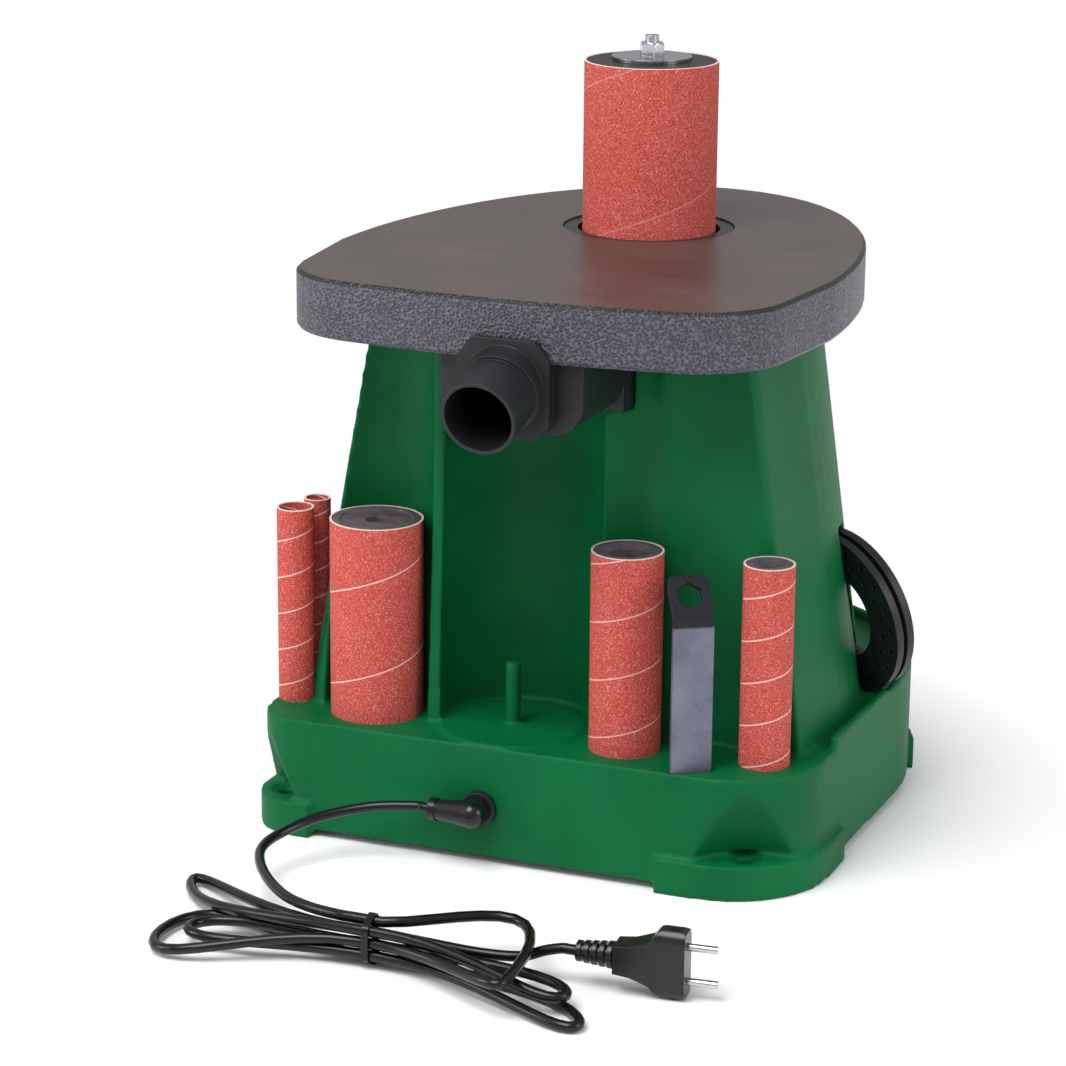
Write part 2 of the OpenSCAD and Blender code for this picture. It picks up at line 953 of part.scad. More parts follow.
// Bracket with the wheel's fixed axle
axle_r = 4;
module gear_bracket() {
    color("lightgray")
    union() {
        translate([-74, -16, worm_z - 8])
            cube([6, 32, plate_z - worm_z + 8]);
        translate([-74, -16, worm_z - 8])
            cube([74 + wheel_x + 8, 6, 16]);
        translate([wheel_x, -16, worm_z])
            rotate([-90, 0, 0])
                cylinder(r = 9, h = 16 - wheel_w / 2 - running);
        translate([wheel_x, -12, worm_z])
            rotate([-90, 0, 0])
                cylinder(r = axle_r, h = 12 + wheel_w / 2 - 2.5);
    }
}

// Worm wheel with straight narrow teeth and the crank pin that lifts the spindle
function gear_points(n, pitch_r, add, ded, thick) = [for (i = [0 : n - 1]) let (c = 360 * i / n,
    w = thick / pitch_r * 90 / PI) each [
    for (q = [[pitch_r - ded, -w * 1.5], [pitch_r + add, -w * 0.62],
        [pitch_r + add, w * 0.62], [pitch_r - ded, w * 1.5]])
        [q[0] * cos(c + q[1]), q[0] * sin(c + q[1])]]];

module worm_wheel() {
    color("goldenrod")
    translate([wheel_x, 0, worm_z])
        rotate([-90, 0, 0])
            difference() {
                union() {
                    rotate(180 / wheel_teeth)
                        translate([0, 0, -wheel_w / 2])
                            linear_extrude(height = wheel_w)
                                polygon(gear_points(wheel_teeth, wheel_pitch_r, 0.9, 1.3, 1.5));
                    translate([half_stroke, 0, wheel_w / 2 - 1])
                        cylinder(r = 3, h = 9);
                }
                translate([0, 0, -wheel_w / 2 - 1])
                    cylinder(r = axle_r + running, h = wheel_w - 1);
            }
}

module lift_yoke() {
    color("silver")
    difference() {
        union() {
            translate([0, 0, collar_z])
                cylinder(r = 12, h = collar_h);
            // arm to the crank pin, then the upright yoke
            translate([-68 + running, 9, collar_z])
                cube([76, 5, collar_h]);
            translate([-68 + running, 9, collar_z])
                cube([60 - running, 5, 62]);
        }
        translate([0, 0, collar_z - 1])
            cylinder(r = spindle_r - 1.35 + running, h = collar_h + 2);
        // window that the crank pin swings in
        translate([wheel_x - 13, 8, worm_z - 19.5])
            cube([26, 7, 39]);
    }
}

module capacitor() {
    color("whitesmoke")
    translate([-84, 74, base_gap + 2])
        union() {
            cylinder(r = 17, h = 70);
            translate([0, 0, 70])
                cylinder(r = 10, h = 4);
        }
}

// Switch on the operator's side
switch_z = 196;
switch_y = -112;
pad_w = 60;
pad_h = 78;
frame_w = 52;
frame_h = 70;
module switch_pad() {
    intersection() {
        translate([-pad_w / 2, switch_y, switch_z - pad_h / 2])
            cube([pad_w, 16, pad_h]);
        translate([0, 0, switch_z])
            rotate([-90, 0, 0])
                translate([0, 0, switch_y])
                    linear_extrude(height = 20)
                        hull()
                            for (x = [-1, 1], z = [-1, 1])
                                translate([x * (pad_w / 2 - 8), z * (pad_h / 2 - 8)])
                                    circle(r = 8);
    }
}
module switch_window() {
    translate([-21, switch_y - 1, switch_z - 30])
        cube([42, 30, 60]);
}
button_w = 26;
button_h = 20;
module switch_frame() {
    color("black")
    difference() {
        union() {
            translate([-frame_w / 2, switch_y - 4, switch_z - frame_h / 2])
                cube([frame_w, 4, frame_h]);
            translate([-20.5, switch_y - 1, switch_z - 29.5])
                cube([41, 28, 59]);
        }
        for (s = [-1, 1])
            translate([-button_w / 2 - loose, switch_y - 5, switch_z + s * 14 - button_h / 2 - loose])
                cube([button_w + 2 * loose, 13, button_h + 2 * loose]);
    }
}
module button(s) {
    translate([-button_w / 2, switch_y - 6, switch_z + s * 14 - button_h / 2])
        cube([button_w, 9, button_h]);
}
module button_on() {
    color("green")
    button(1);
}
module button_off() {
    color("red")
    button(-1);
}

// Gland and elbow where the cord leaves the base
gland_at = [21, 33];
gland_r = 10;
module gland_hole() {
    translate([gland_at[0], base_back - 20, gland_at[1]])
        rotate([-90, 0, 0])
            cylinder(r = gland_r - 2, h = 40);
}
module cord_gland() {
    color("black")
    translate([gland_at[0], base_back, gland_at[1]])
        rotate([-90, 0, 0]) {
            cylinder(r = gland_r, h = 4);
            translate([0, 0, -12])
                cylinder(r = gland_r - 2.3, h = 13);
        }
}
elbow_y = base_back + 12;
module strain_relief() {
    color("black")
    union() {
        translate([gland_at[0], base_back + 4, gland_at[1]])
            rotate([-90, 0, 0])
                cylinder(r = 8, h = 8);
        translate([gland_at[0], elbow_y, gland_at[1]])
            sphere(r = 8);
        translate([gland_at[0], elbow_y, gland_at[1]])
            rotate([0, 90, 0])
                cylinder(r1 = 8, r2 = 5.5, h = 22);
        translate([gland_at[0] + 21, elbow_y, gland_at[1]])
            rotate([0, 90, 0])
                cylinder(r = 6.5, h = 4);
    }
}

// Cord: the route is drawn in millimetres about the spindle axis, and its points are chosen
// by hand. The strands pass the tie in two staggered columns.
tie_at = [17, 360];
level_0 = 3.7;
level_step = 3.4;
column_off = 3.3;
function level(k) = level_0 + level_step * k;
function column(k) = k % 2 == 0 ? -column_off : column_off;
tie_half = 6;
// the first and last three points of a route are in line, so that its ends are cut square
lead_route = [[46, elbow_y, 33], [51, elbow_y, 33], [56, elbow_y, 33], [80, 221, 31],
    [104, 237, 27], [119, 258, 22], [121, 276, 20], [113, 295, 19.6], [97, 317, 19.8],
    [77, 337, 20.8], [56, 350, 22.6], [38, 356, 23.9],
    [tie_at[0] + tie_half + 6, tie_at[1] + column(6), level(6)],
    [tie_at[0] + tie_half + 3, tie_at[1] + column(6), level(6)],
    [tie_at[0] + tie_half, tie_at[1] + column(6), level(6)]];
tail_route = [[tie_at[0] - tie_half, tie_at[1] + column(4), level(4)],
    [tie_at[0] - tie_half - 3, tie_at[1] + column(4), level(4)],
    [tie_at[0] - tie_half - 6, tie_at[1] + column(4), level(4)], [-14, 352, 14.4], [-38, 346, 11],
    [-60, 343, 11.4], [-74, 341.9, 16.6], [-83, 341.1, 19], [-87, 340.75, 19], [-91, 340.4, 19]];
inner_route = [[21, base_back - 12, 33], [21, base_back - 15, 33], [21, base_back - 18, 33],
    [32, 168, 24], [56, 140, 14], [60, 90, 12], [58, 0, 12], [46, -50, 14], [28, -76, 24],
    [12, -80, 60], [10, -78, 130], [10, -77, 155], [10, -77, 166.5]];

// Smooth curve through hand-chosen points
function curve_at(p, i, t) = let (a = p[max(i - 1, 0)], b = p[i], c = p[i + 1],
    d = p[min(i + 2, len(p) - 1)]) 0.5 * (2 * b + (c - a) * t + (2 * a - 5 * b + 4 * c - d) *
    t * t + (3 * b - a - 3 * c + d) * t * t * t);
function curve(p, n) = concat([for (i = [0 : len(p) - 2]) for (k = [0 : n - 1])
    curve_at(p, i, k / n)], [p[len(p) - 1]]);
function unit(v) = v / norm(v);
function heading(p, i) = unit(p[min(i + 1, len(p) - 1)] - p[max(i - 1, 0)]);
function ring_at(c, h, r, sides) = let (s = unit(cross([0, 0, 1], h)), u = cross(h, s))
    [for (k = [0 : sides - 1]) let (a = 360 * (k + (sides == 8 ? 0.5 : 0)) / sides)
        c + r * cos(a) * s + r * sin(a) * u];
module cord_tube(p, sides) {
    // the polygon's own radius gives the cord its area back
    r = cord_d / 2 / sqrt(sides / (2 * PI) * sin(360 / sides));
    rings = [for (i = [0 : len(p) - 1]) ring_at(p[i], heading(p, i), r, sides)];
    polyhedron(tube_points(rings), tube_faces(len(rings), sides));
}
function run(p) = len(p) < 2 ? 0 : [for (i = 1, s = 0; i <= len(p); s = s +
    (i < len(p) ? norm(p[i] - p[i - 1]) : 0), i = i + 1) s][len(p) - 1];

// Lobes of the hank: side, level in, level out, reach, drift of the tip, opening of the way
// out and of the way back, height of the tip, how late the lobe opens. Side 1 goes to -X.
// The first lobe is the wide arc, the last the small one.
lobes = [
    [1, 6, 3, 84, 36, -66, -10, 20, 0.5],
    [-1, 3, 0, 112, 8, 34, 34, 4, 1],
    [1, 0, 1, 124, 34, -12, -12, 3.2, 1],
    [-1, 1, 2, 96, 6, 13, 13, 8, 1],
    [1, 2, 5, 110, 16, -11, -11, 9.6, 1],
    [-1, 5, 4, 130, -62, 12, 12, 4, 1]];
lobe_steps = 24;
function ease(t) = let (u = min(1, max(0, t))) u * u * (3 - 2 * u);
function lobe_point(q, s) = let (bump = sin(180 * s), edge = min(s, 1 - s) / 0.42,
    near = level(s < 0.5 ? q[1] : q[2]))
    [tie_at[0] - q[0] * (tie_half + q[3] * bump),
        tie_at[1] + column(q[1]) + (column(q[2]) - column(q[1])) * ease(s)
            + q[4] * bump * bump + (s < 0.5 ? q[5] : q[6]) * sin(360 * s) * pow(bump, q[8]),
        near + (q[7] - near) * ease(edge)];
hank_start = [tie_at[0] + tie_half, tie_at[1] + column(6), level(6)];
hank_end = [tie_at[0] - tie_half, tie_at[1] + column(4), level(4)];
lobe_rings = [for (q = lobes) for (i = [0 : lobe_steps]) lobe_point(q, i / lobe_steps)];
full_path = concat([hank_start], lobe_rings, [hank_end]);
function gap_from(i) = min([for (j = [i + 9 : 1 : len(full_path) - 1])
    norm(full_path[i] - full_path[j])]);
gaps = [for (i = [0 : len(full_path) - 10]) gap_from(i)];
tail_gaps = [for (p = curve(tail_route, 3)) if (p[0] < 0) for (q = full_path) norm(p - q)];
lead_gaps = [for (p = curve(lead_route, 3)) if (p[0] > 40) for (q = full_path) norm(p - q)];
echo(least_gap_of_the_hank_to_itself = min(gaps) - cord_d);
echo(least_gap_of_the_hank_to_the_tail = min(tail_gaps) - cord_d);
echo(least_gap_of_the_hank_to_the_lead = min(lead_gaps) - cord_d);
echo(cord_length = run(curve(lead_route, 4)) + run(full_path) + run(curve(tail_route, 4)));

module cord_lead() {
    color("black")
    cord_tube(curve(lead_route, 3), 8);
}
module inner_lead() {
    color("black")
    cord_tube(curve(inner_route, 3), 8);
}
module cord_hank() {
    color("black")
    cord_tube(full_path, 6);
}
module cord_tail() {
    color("black")
    cord_tube(curve(tail_route, 3), 8);
}
module tie_loop(r) {
    intersection() {
        hull()
            for (k = [0, 1, 5, 6])
                translate([column(k), level(k)])
                    circle(r = r, $fn = facet);
        translate([-20, 0])
            square([40, 40]);
    }
}
module cord_tie() {
    color("black")
    translate([tie_at[0] - tie_w / 2, tie_at[1], 0])
        rotate([90, 0, 90])
            linear_extrude(height = tie_w)
                difference() {
                    tie_loop(4.1);
                    tie_loop(3.3);
                }
}

// Two-pole plug, standing on its edge
plug_at = [-91, 340.4, 19];
plug_turn = 185;
module at_plug() {
    translate(plug_at)
        rotate([0, 0, plug_turn])
            children();
}
module plug_relief() {
    color("black")
    at_plug()
        rotate([0, 90, 0])
            for (i = [0 : 4])
                translate([0, 0, i * 4.2]) {
                    cylinder(r = 4.6, h = i < 4 ? 4.2 : 4);
                    translate([0, 0, 0.6])
                        cylinder(r = 5.6 + 0.4 * i, h = 2.6);
                }
}
module plug_body() {
    color("black")
    at_plug()
        rotate([90, 0, 0])
            translate([20.8, 0, 0])
            intersection() {
                rotate([0, 90, 0])
                    linear_extrude(height = 38)
                        hull()
                            for (y = [-12, 12])
                                translate([0, y])
                                    circle(r = 7.5, $fn = facet);
                translate([0, 0, -10])
                    linear_extrude(height = 20)
                        polygon([[0, -7.5], [9, -8.5], [19, -12], [23, -17], [26, -19],
                            [34, -19.4], [38, -17.5], [38, 17.5], [34, 19.4], [26, 19],
                            [23, 17], [19, 12], [9, 8.5], [0, 7.5]]);
            }
}
module plug_pins() {
    color("silver")
    at_plug()
        for (z = [-9.5, 9.5])
            translate([58.8, 0, z])
                rotate([0, 90, 0])
                    cylinder(r = 2, h = 16);
}

module on_bench() {
    translate([-lug_mid[0], -lug_mid[1], 0])
        children();
}

on_bench() body_housing();
on_bench() bottom_plate();
on_bench() plate_screws();
on_bench() table();
on_bench() table_bolts();
on_bench() table_insert();
on_bench() spindle();
on_bench() drum_flange();
on_bench() drum_76();
on_bench() sleeve_76();
on_bench() top_washer();
on_bench() drum_nut();
on_bench() dust_duct();
on_bench() dust_port();
on_bench() drum_51();
on_bench() sleeve_51();
on_bench() drum_38();
on_bench() sleeve_38();
on_bench() drum_26();
on_bench() sleeve_26();
on_bench() sleeve_19();
on_bench() sleeve_13();
on_bench() wrench();
on_bench() stored_insert_a();
on_bench() stored_insert_b();
on_bench() carrier();
on_bench() upper_bearing();
on_bench() lower_bearing();
on_bench() drive_hub();
on_bench() motor_case();
on_bench() motor_shaft();
on_bench() motor_pulley();
on_bench() belt();
on_bench() gear_bracket();
on_bench() worm_wheel();
on_bench() lift_yoke();
on_bench() capacitor();
on_bench() switch_frame();
on_bench() button_on();
on_bench() button_off();
on_bench() inner_lead();
on_bench() cord_gland();
on_bench() strain_relief();
on_bench() cord_lead();
on_bench() cord_hank();
on_bench() cord_tie();
on_bench() cord_tail();
on_bench() plug_relief();
on_bench() plug_body();
on_bench() plug_pins();
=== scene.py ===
# %% [markdown]
# # A bench-top spindle sander, seen from its back
# The machine is a green moulded housing with a cast table on top, a rubber drum with an
# abrasive sleeve through the table, and its spare drums, sleeves, rings and wrench stored
# round the foot. The solids come ready from the frame. This lesson gives every surface its
# finish, rounds what the mould rounded, and makes the pieces that repeat with Geometry Nodes.

# %% Load the frame
import json
import math
import bmesh
import bpy
import numpy as np
from mathutils import Matrix, Vector


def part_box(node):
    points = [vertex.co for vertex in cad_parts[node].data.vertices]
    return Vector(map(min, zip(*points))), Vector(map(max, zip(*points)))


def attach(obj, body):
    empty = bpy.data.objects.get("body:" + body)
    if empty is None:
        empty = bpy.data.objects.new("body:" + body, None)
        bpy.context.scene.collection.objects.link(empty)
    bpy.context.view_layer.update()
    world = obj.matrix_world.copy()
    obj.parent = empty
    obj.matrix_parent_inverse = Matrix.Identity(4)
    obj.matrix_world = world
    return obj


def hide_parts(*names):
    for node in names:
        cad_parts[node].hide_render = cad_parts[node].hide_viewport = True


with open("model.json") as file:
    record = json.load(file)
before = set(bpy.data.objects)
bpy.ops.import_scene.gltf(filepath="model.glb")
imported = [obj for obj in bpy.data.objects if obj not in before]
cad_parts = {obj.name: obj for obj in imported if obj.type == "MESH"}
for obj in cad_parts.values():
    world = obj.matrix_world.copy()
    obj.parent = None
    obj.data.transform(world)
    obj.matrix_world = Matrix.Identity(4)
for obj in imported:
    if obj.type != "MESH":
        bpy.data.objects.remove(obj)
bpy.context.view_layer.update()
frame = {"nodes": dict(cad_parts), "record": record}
node = frame["nodes"]
body_of_node = {n: b for b, ns in frame["record"]["behaviour"]["bodies"].items() for n in ns}

# %% [markdown]
# ## One place for all the measures
# The solids were drawn in millimetres round the spindle. The frame's origin is the middle of
# the four bolt lugs, so one small helper turns the first kind of point into the second. Every
# later cell uses it, and nothing has to be fitted by eye.

# %% Points in millimetres about the spindle
LUG_MIDDLE = (10, 57)
TABLE_TOP = 0.331
TRAY_TOP = 0.069
BASE_BACK = 203


def at(x, y, z):
    """A point given in millimetres about the spindle, in the frame's metres."""
    return Vector(((x - LUG_MIDDLE[0]) / 1000, (y - LUG_MIDDLE[1]) / 1000, z / 1000))


print("spindle axis at", [round(v, 4) for v in at(0, 0, 0)])

# %% [markdown]
# ## The camera
# The photograph was taken with a long lens from behind the machine and a little above it, so
# the upright edges hardly lean. The place and the lens were worked out once from points that
# can be recognised: the lugs, the foot of each drum, the table's outline. Camera first, because
# every later choice is judged through it.

# %% Camera
camera = bpy.data.objects.new("photo_camera", bpy.data.cameras.new("photo_camera"))
bpy.context.scene.collection.objects.link(camera)
camera.data.lens = 113.8
camera.data.sensor_width = 36
camera.data.clip_start, camera.data.clip_end = 0.05, 30
looking = Vector((0.3577, -0.8925, -0.2745)).normalized()
turn = looking.to_track_quat("-Z", "Y").to_matrix().to_4x4()
camera.matrix_world = (Matrix.Translation((-0.6765, 1.7851, 0.701)) @ turn
                       @ Matrix.Rotation(math.radians(0.51), 4, "Z"))
bpy.context.scene.camera = camera
print("camera", [round(v, 3) for v in camera.matrix_world.translation])

# %% [markdown]
# ## The cord
# A black two-core mains lead, about two metres, leaves the gland to the left, curves to the
# bench and is folded into a hank that one plastic tie holds. A tail runs on to the plug. A real
# lead is one piece, so one curve with a round bevel makes it: the lead, the six lobes of the
# hank and the tail are joined into one open spline. Each lobe is a formula, a loop that leaves
# the tie at one level and comes back at another, so no two strands meet.

# %% The cord's route
CORD = 5.8
TIE = (17, 360)
LEVEL_0, LEVEL_STEP, COLUMN = 3.7, 3.4, 3.3
TIE_HALF = 6
ELBOW_Y = BASE_BACK + 12


def level(k):
    return LEVEL_0 + LEVEL_STEP * k


def column(k):
    return -COLUMN if k % 2 == 0 else COLUMN


lead_route = [(46, ELBOW_Y, 33), (51, ELBOW_Y, 33), (56, ELBOW_Y, 33), (80, 221, 31),
              (104, 237, 27), (119, 258, 22), (121, 276, 20), (113, 295, 19.6),
              (97, 317, 19.8), (77, 337, 20.8), (56, 350, 22.6), (38, 356, 23.9),
              (TIE[0] + TIE_HALF + 6, TIE[1] + column(6), level(6)),
              (TIE[0] + TIE_HALF + 3, TIE[1] + column(6), level(6)),
              (TIE[0] + TIE_HALF, TIE[1] + column(6), level(6))]
tail_route = [(TIE[0] - TIE_HALF, TIE[1] + column(4), level(4)),
              (TIE[0] - TIE_HALF - 3, TIE[1] + column(4), level(4)),
              (TIE[0] - TIE_HALF - 6, TIE[1] + column(4), level(4)), (-14, 352, 14.4),
              (-38, 346, 11), (-60, 343, 11.4), (-74, 341.9, 16.6), (-83, 341.1, 19),
              (-87, 340.75, 19), (-91, 340.4, 19)]
# side, level in, level out, reach, drift of the tip, opening out, opening back, tip height,
# how late the lobe opens
lobes = [(1, 6, 3, 84, 36, -66, -10, 20, 0.5), (-1, 3, 0, 112, 8, 34, 34, 4, 1),
         (1, 0, 1, 124, 34, -12, -12, 3.2, 1), (-1, 1, 2, 96, 6, 13, 13, 8, 1),
         (1, 2, 5, 110, 16, -11, -11, 9.6, 1), (-1, 5, 4, 130, -62, 12, 12, 4, 1)]


def smooth_route(points, steps):
    """Smooth line through listed points."""
    p = [Vector(q) for q in points]
    line = []
    for i in range(len(p) - 1):
        a, b, c, d = p[max(i - 1, 0)], p[i], p[i + 1], p[min(i + 2, len(p) - 1)]
        for k in range(steps):
            t = k / steps
            line.append(0.5 * (2 * b + (c - a) * t + (2 * a - 5 * b + 4 * c - d) * t * t
                               + (3 * b - a - 3 * c + d) * t * t * t))
    return line + [p[-1]]


def ease(t):
    u = min(1, max(0, t))
    return u * u * (3 - 2 * u)


def lobe_point(q, s):
    side, k_in, k_out, reach, drift, out, back, tip, late = q
    bump = math.sin(math.pi * s)
    near = level(k_in if s < 0.5 else k_out)
    swing = (out if s < 0.5 else back) * math.sin(2 * math.pi * s) * max(bump, 0) ** late
    return Vector((TIE[0] - side * (TIE_HALF + reach * bump),
                   TIE[1] + column(k_in) + (column(k_out) - column(k_in)) * ease(s)
                   + drift * bump * bump + swing,
                   near + (tip - near) * ease(min(s, 1 - s) / 0.42)))


hank_line = [lobe_point(q, i / 24) for q in lobes for i in range(25)]
cord_line = smooth_route(lead_route, 4) + hank_line + smooth_route(tail_route, 4)[1:]
cord_line = [at(*p) for i, p in enumerate(cord_line)
             if i == 0 or (p - cord_line[i - 1]).length > 0.05]

# %% [markdown]
# ## Finishes: a few helpers
# A finish here is a small node tree: a colour that varies a little, a roughness that varies
# with it, and a bump at the size of the real grain. All patterns read Object coordinates, in
# metres, so a grain of half a millimetre is a noise of scale 2000. The Bevel node lets the
# light run round edges that the solids leave sharp.

# %% Helpers for node trees
def srgb(r, g, b):
    """A colour as a picture shows it, 0 to 255, turned into the light it stands for."""
    return tuple(((v / 255) / 12.92 if v <= 10 else ((v / 255 + 0.055) / 1.055) ** 2.4)
                 for v in (r, g, b)) + (1,)


class Finish:
    """A material with a short way to add and join nodes."""

    def __init__(self, name, **sockets):
        self.mat = bpy.data.materials.new(name)
        self.mat.use_nodes = True
        self.nt = self.mat.node_tree
        self.nt.nodes.clear()
        out = self.nt.nodes.new("ShaderNodeOutputMaterial")
        self.shader = self.nt.nodes.new("ShaderNodeBsdfPrincipled")
        self.nt.links.new(self.shader.outputs[0], out.inputs["Surface"])
        for socket, value in sockets.items():
            self.shader.inputs[socket.replace("_", " ")].default_value = value
        self.place = self.add("ShaderNodeTexCoord").outputs["Object"]
        self.normal = None

    def add(self, kind, **settings):
        made = self.nt.nodes.new(kind)
        for k, v in settings.items():
            setattr(made, k, v)
        return made

    def join(self, source, target):
        self.nt.links.new(source, target)

    def math(self, operation, a, b=None):
        made = self.add("ShaderNodeMath", operation=operation)
        for i, v in enumerate((a, b)):
            if v is None:
                continue
            if isinstance(v, (int, float)):
                made.inputs[i].default_value = v
            else:
                self.join(v, made.inputs[i])
        return made.outputs[0]

    def noise(self, scale, detail=2.0, roughness=0.5, stretch=None):
        made = self.add("ShaderNodeTexNoise")
        made.inputs["Scale"].default_value = scale
        made.inputs["Detail"].default_value = detail
        made.inputs["Roughness"].default_value = roughness
        source = self.place
        if stretch:
            mapping = self.add("ShaderNodeMapping")
            mapping.inputs["Scale"].default_value = stretch
            self.join(self.place, mapping.inputs["Vector"])
            source = mapping.outputs[0]
        self.join(source, made.inputs["Vector"])
        return made.outputs["Fac"]

    def ramp(self, fac, stops):
        made = self.add("ShaderNodeValToRGB")
        ramp = made.color_ramp
        while len(ramp.elements) < len(stops):
            ramp.elements.new(0.5)
        for element, (spot, colour) in zip(ramp.elements, stops):
            element.position = spot
            element.color = colour if hasattr(colour, "__len__") else (colour,) * 3 + (1,)
        self.join(fac, made.inputs["Fac"])
        return made.outputs["Color"]

    def mix(self, fac, a, b):
        made = self.add("ShaderNodeMix", data_type="RGBA")
        for value, socket in ((fac, made.inputs[0]), (a, made.inputs[6]), (b, made.inputs[7])):
            if hasattr(value, "is_linked"):
                self.join(value, socket)
            else:
                socket.default_value = value
        return made.outputs[2]

    def edges(self, radius):
        """Light that runs round sharp edges."""
        made = self.add("ShaderNodeBevel", samples=6)
        made.inputs["Radius"].default_value = radius
        self.normal = made.outputs[0]

    def bump(self, height, depth, strength=1.0):
        made = self.add("ShaderNodeBump")
        made.inputs["Distance"].default_value = depth
        made.inputs["Strength"].default_value = strength
        self.join(height, made.inputs["Height"])
        if self.normal:
            self.join(self.normal, made.inputs["Normal"])
        self.normal = made.outputs[0]

    def colour(self, source):
        self.join(source, self.shader.inputs["Base Color"])

    def rough(self, fac, low, high):
        made = self.add("ShaderNodeMapRange")
        made.inputs["To Min"].default_value = low
        made.inputs["To Max"].default_value = high
        self.join(fac, made.inputs["Value"])
        self.join(made.outputs[0], self.shader.inputs["Roughness"])

    def done(self):
        if self.normal:
            self.join(self.normal, self.shader.inputs["Normal"])
        return self.mat


print("helpers ready")

# %% [markdown]
# ## Moulded plastics
# The housing is a green ABS moulding with a satin, very fine grain. Its corners are softly
# rounded, so it mirrors broad pale streaks. The dust duct, the rings and the plug are black
# mouldings of the same kind. One function makes them all: the grain is one fine noise, the
# cloudiness of the pigment a broad one, and scuffs are a stretched noise cut by a ramp.

# %% Plastic finishes
def moulded(name, dark, light, rough, grain, edge=0.0008, shine=0.45):
    f = Finish(name, Specular_IOR_Level=shine)
    cloud = f.noise(14, 3)
    fine = f.noise(1800, 2)
    scuff = f.noise(60, 5, 0.65, stretch=(1, 1, 0.25))
    tone = f.ramp(cloud, [(0.3, dark), (0.7, light)])
    worn = f.ramp(scuff, [(0.66, (0, 0, 0, 1)), (0.78, (1, 1, 1, 1))])
    pale = tuple(min(1, v * 1.25 + 0.004) for v in light[:3]) + (1,)
    f.colour(f.mix(f.math("MULTIPLY", worn, 0.35), tone, pale))
    f.rough(f.math("ADD", f.math("MULTIPLY", cloud, 0.6), f.math("MULTIPLY", fine, 0.4)),
            rough - 0.07, rough + 0.07)
    f.edges(edge)
    f.bump(fine, grain)
    return f.done()


green = moulded("green_housing", srgb(0, 88, 46), srgb(2, 103, 56), 0.5, 0.00006, 0.0016, 0.14)
black = moulded("black_moulding", srgb(24, 25, 28), srgb(34, 35, 38), 0.42, 0.00005)
glossy_black = moulded("plug_black", srgb(14, 14, 16), srgb(24, 24, 27), 0.26, 0.00002)
white_case = moulded("capacitor_case", srgb(205, 205, 198), srgb(225, 225, 218), 0.35, 0.00003)
button_green = moulded("button_green", srgb(20, 120, 52), srgb(28, 140, 62), 0.3, 0.00002)
button_red = moulded("button_red", srgb(170, 22, 18), srgb(196, 30, 24), 0.3, 0.00002)
print("plastics", 6)

# %% [markdown]
# ## Cast iron table
# The casting is painted with a hammered grey that pools into small dimples, and its top is
# ground flat and satin, brown-grey, with faint cloudy stains. One finish serves both: the
# surface's own normal tells the ground top from the painted side, and the slope between them
# is given painted shade.

# %% Table finish
def table_finish():
    f = Finish("table_casting", Metallic=0.0, Specular_IOR_Level=0.42)
    geo = f.add("ShaderNodeNewGeometry")
    parts = f.add("ShaderNodeSeparateXYZ")
    f.join(geo.outputs["Normal"], parts.inputs[0])
    up = f.ramp(parts.outputs["Z"], [(0.9, 0.0), (0.97, 1.0)])
    stain = f.noise(22, 6, 0.62)
    fine = f.noise(900, 3)
    dimple = f.add("ShaderNodeTexVoronoi")
    dimple.inputs["Scale"].default_value = 640
    f.join(f.place, dimple.inputs["Vector"])
    top = f.ramp(f.math("ADD", f.math("MULTIPLY", stain, 0.6), f.math("MULTIPLY", fine, 0.4)),
                 [(0.3, srgb(56, 45, 41)), (0.5, srgb(70, 58, 54)), (0.7, srgb(86, 74, 69))])
    side = f.ramp(f.math("ADD", f.math("MULTIPLY", dimple.outputs["Distance"], 0.8),
                         f.math("MULTIPLY", fine, 0.3)),
                  [(0.2, srgb(40, 39, 45)), (0.5, srgb(62, 61, 70)), (0.8, srgb(92, 91, 103))])
    # painted shade: the slope between top and side is coloured dark by the angle of its normal
    slope_painted_shade = f.ramp(parts.outputs["Z"], [(0.25, 0.0), (0.4, 1.0), (0.9, 1.0), (0.96, 0.0)])
    f.colour(f.mix(slope_painted_shade, f.mix(up, side, top), srgb(34, 32, 34)))
    f.rough(f.math("ADD", f.math("MULTIPLY", stain, 0.5), f.math("MULTIPLY", fine, 0.5)),
            0.28, 0.46)
    f.edges(0.0012)
    lumps = f.math("MULTIPLY", dimple.outputs["Distance"],
                   f.math("SUBTRACT", 1.0, up))
    f.bump(lumps, 0.0007)
    f.bump(fine, 0.00004)
    return f.done()


table_grey = table_finish()
print("table finish ready")

# %% [markdown]
# ## Rubber, cord and belt
# The drums are black rubber that dust has turned a little grey and purple, the lead is soft
# shiny PVC, and the belt is dull.

# %% Rubber finishes
def rubber(name, dark, light, rough, grain_scale, grain):
    f = Finish(name, Specular_IOR_Level=0.4)
    dust = f.noise(90, 5, 0.6)
    fine = f.noise(grain_scale, 3)
    f.colour(f.ramp(f.math("ADD", f.math("MULTIPLY", dust, 0.6), f.math("MULTIPLY", fine, 0.4)),
                    [(0.35, dark), (0.65, light)]))
    f.rough(dust, rough - 0.08, rough + 0.1)
    f.edges(0.0006)
    f.bump(fine, grain)
    return f.done()


drum_rubber = rubber("drum_rubber", srgb(62, 56, 60), srgb(104, 96, 100), 0.7, 1400, 0.0003)
work_rubber = rubber("fitted_drum_rubber", srgb(26, 25, 27), srgb(46, 44, 47), 0.5, 1400, 0.0001)
belt_rubber = rubber("belt_rubber", srgb(30, 30, 31), srgb(44, 43, 44), 0.8, 1200, 0.0001)
cord_skin = rubber("cord_skin", srgb(8, 8, 9), srgb(17, 17, 19), 0.24, 700, 0.00002)
print("rubbers", 4)
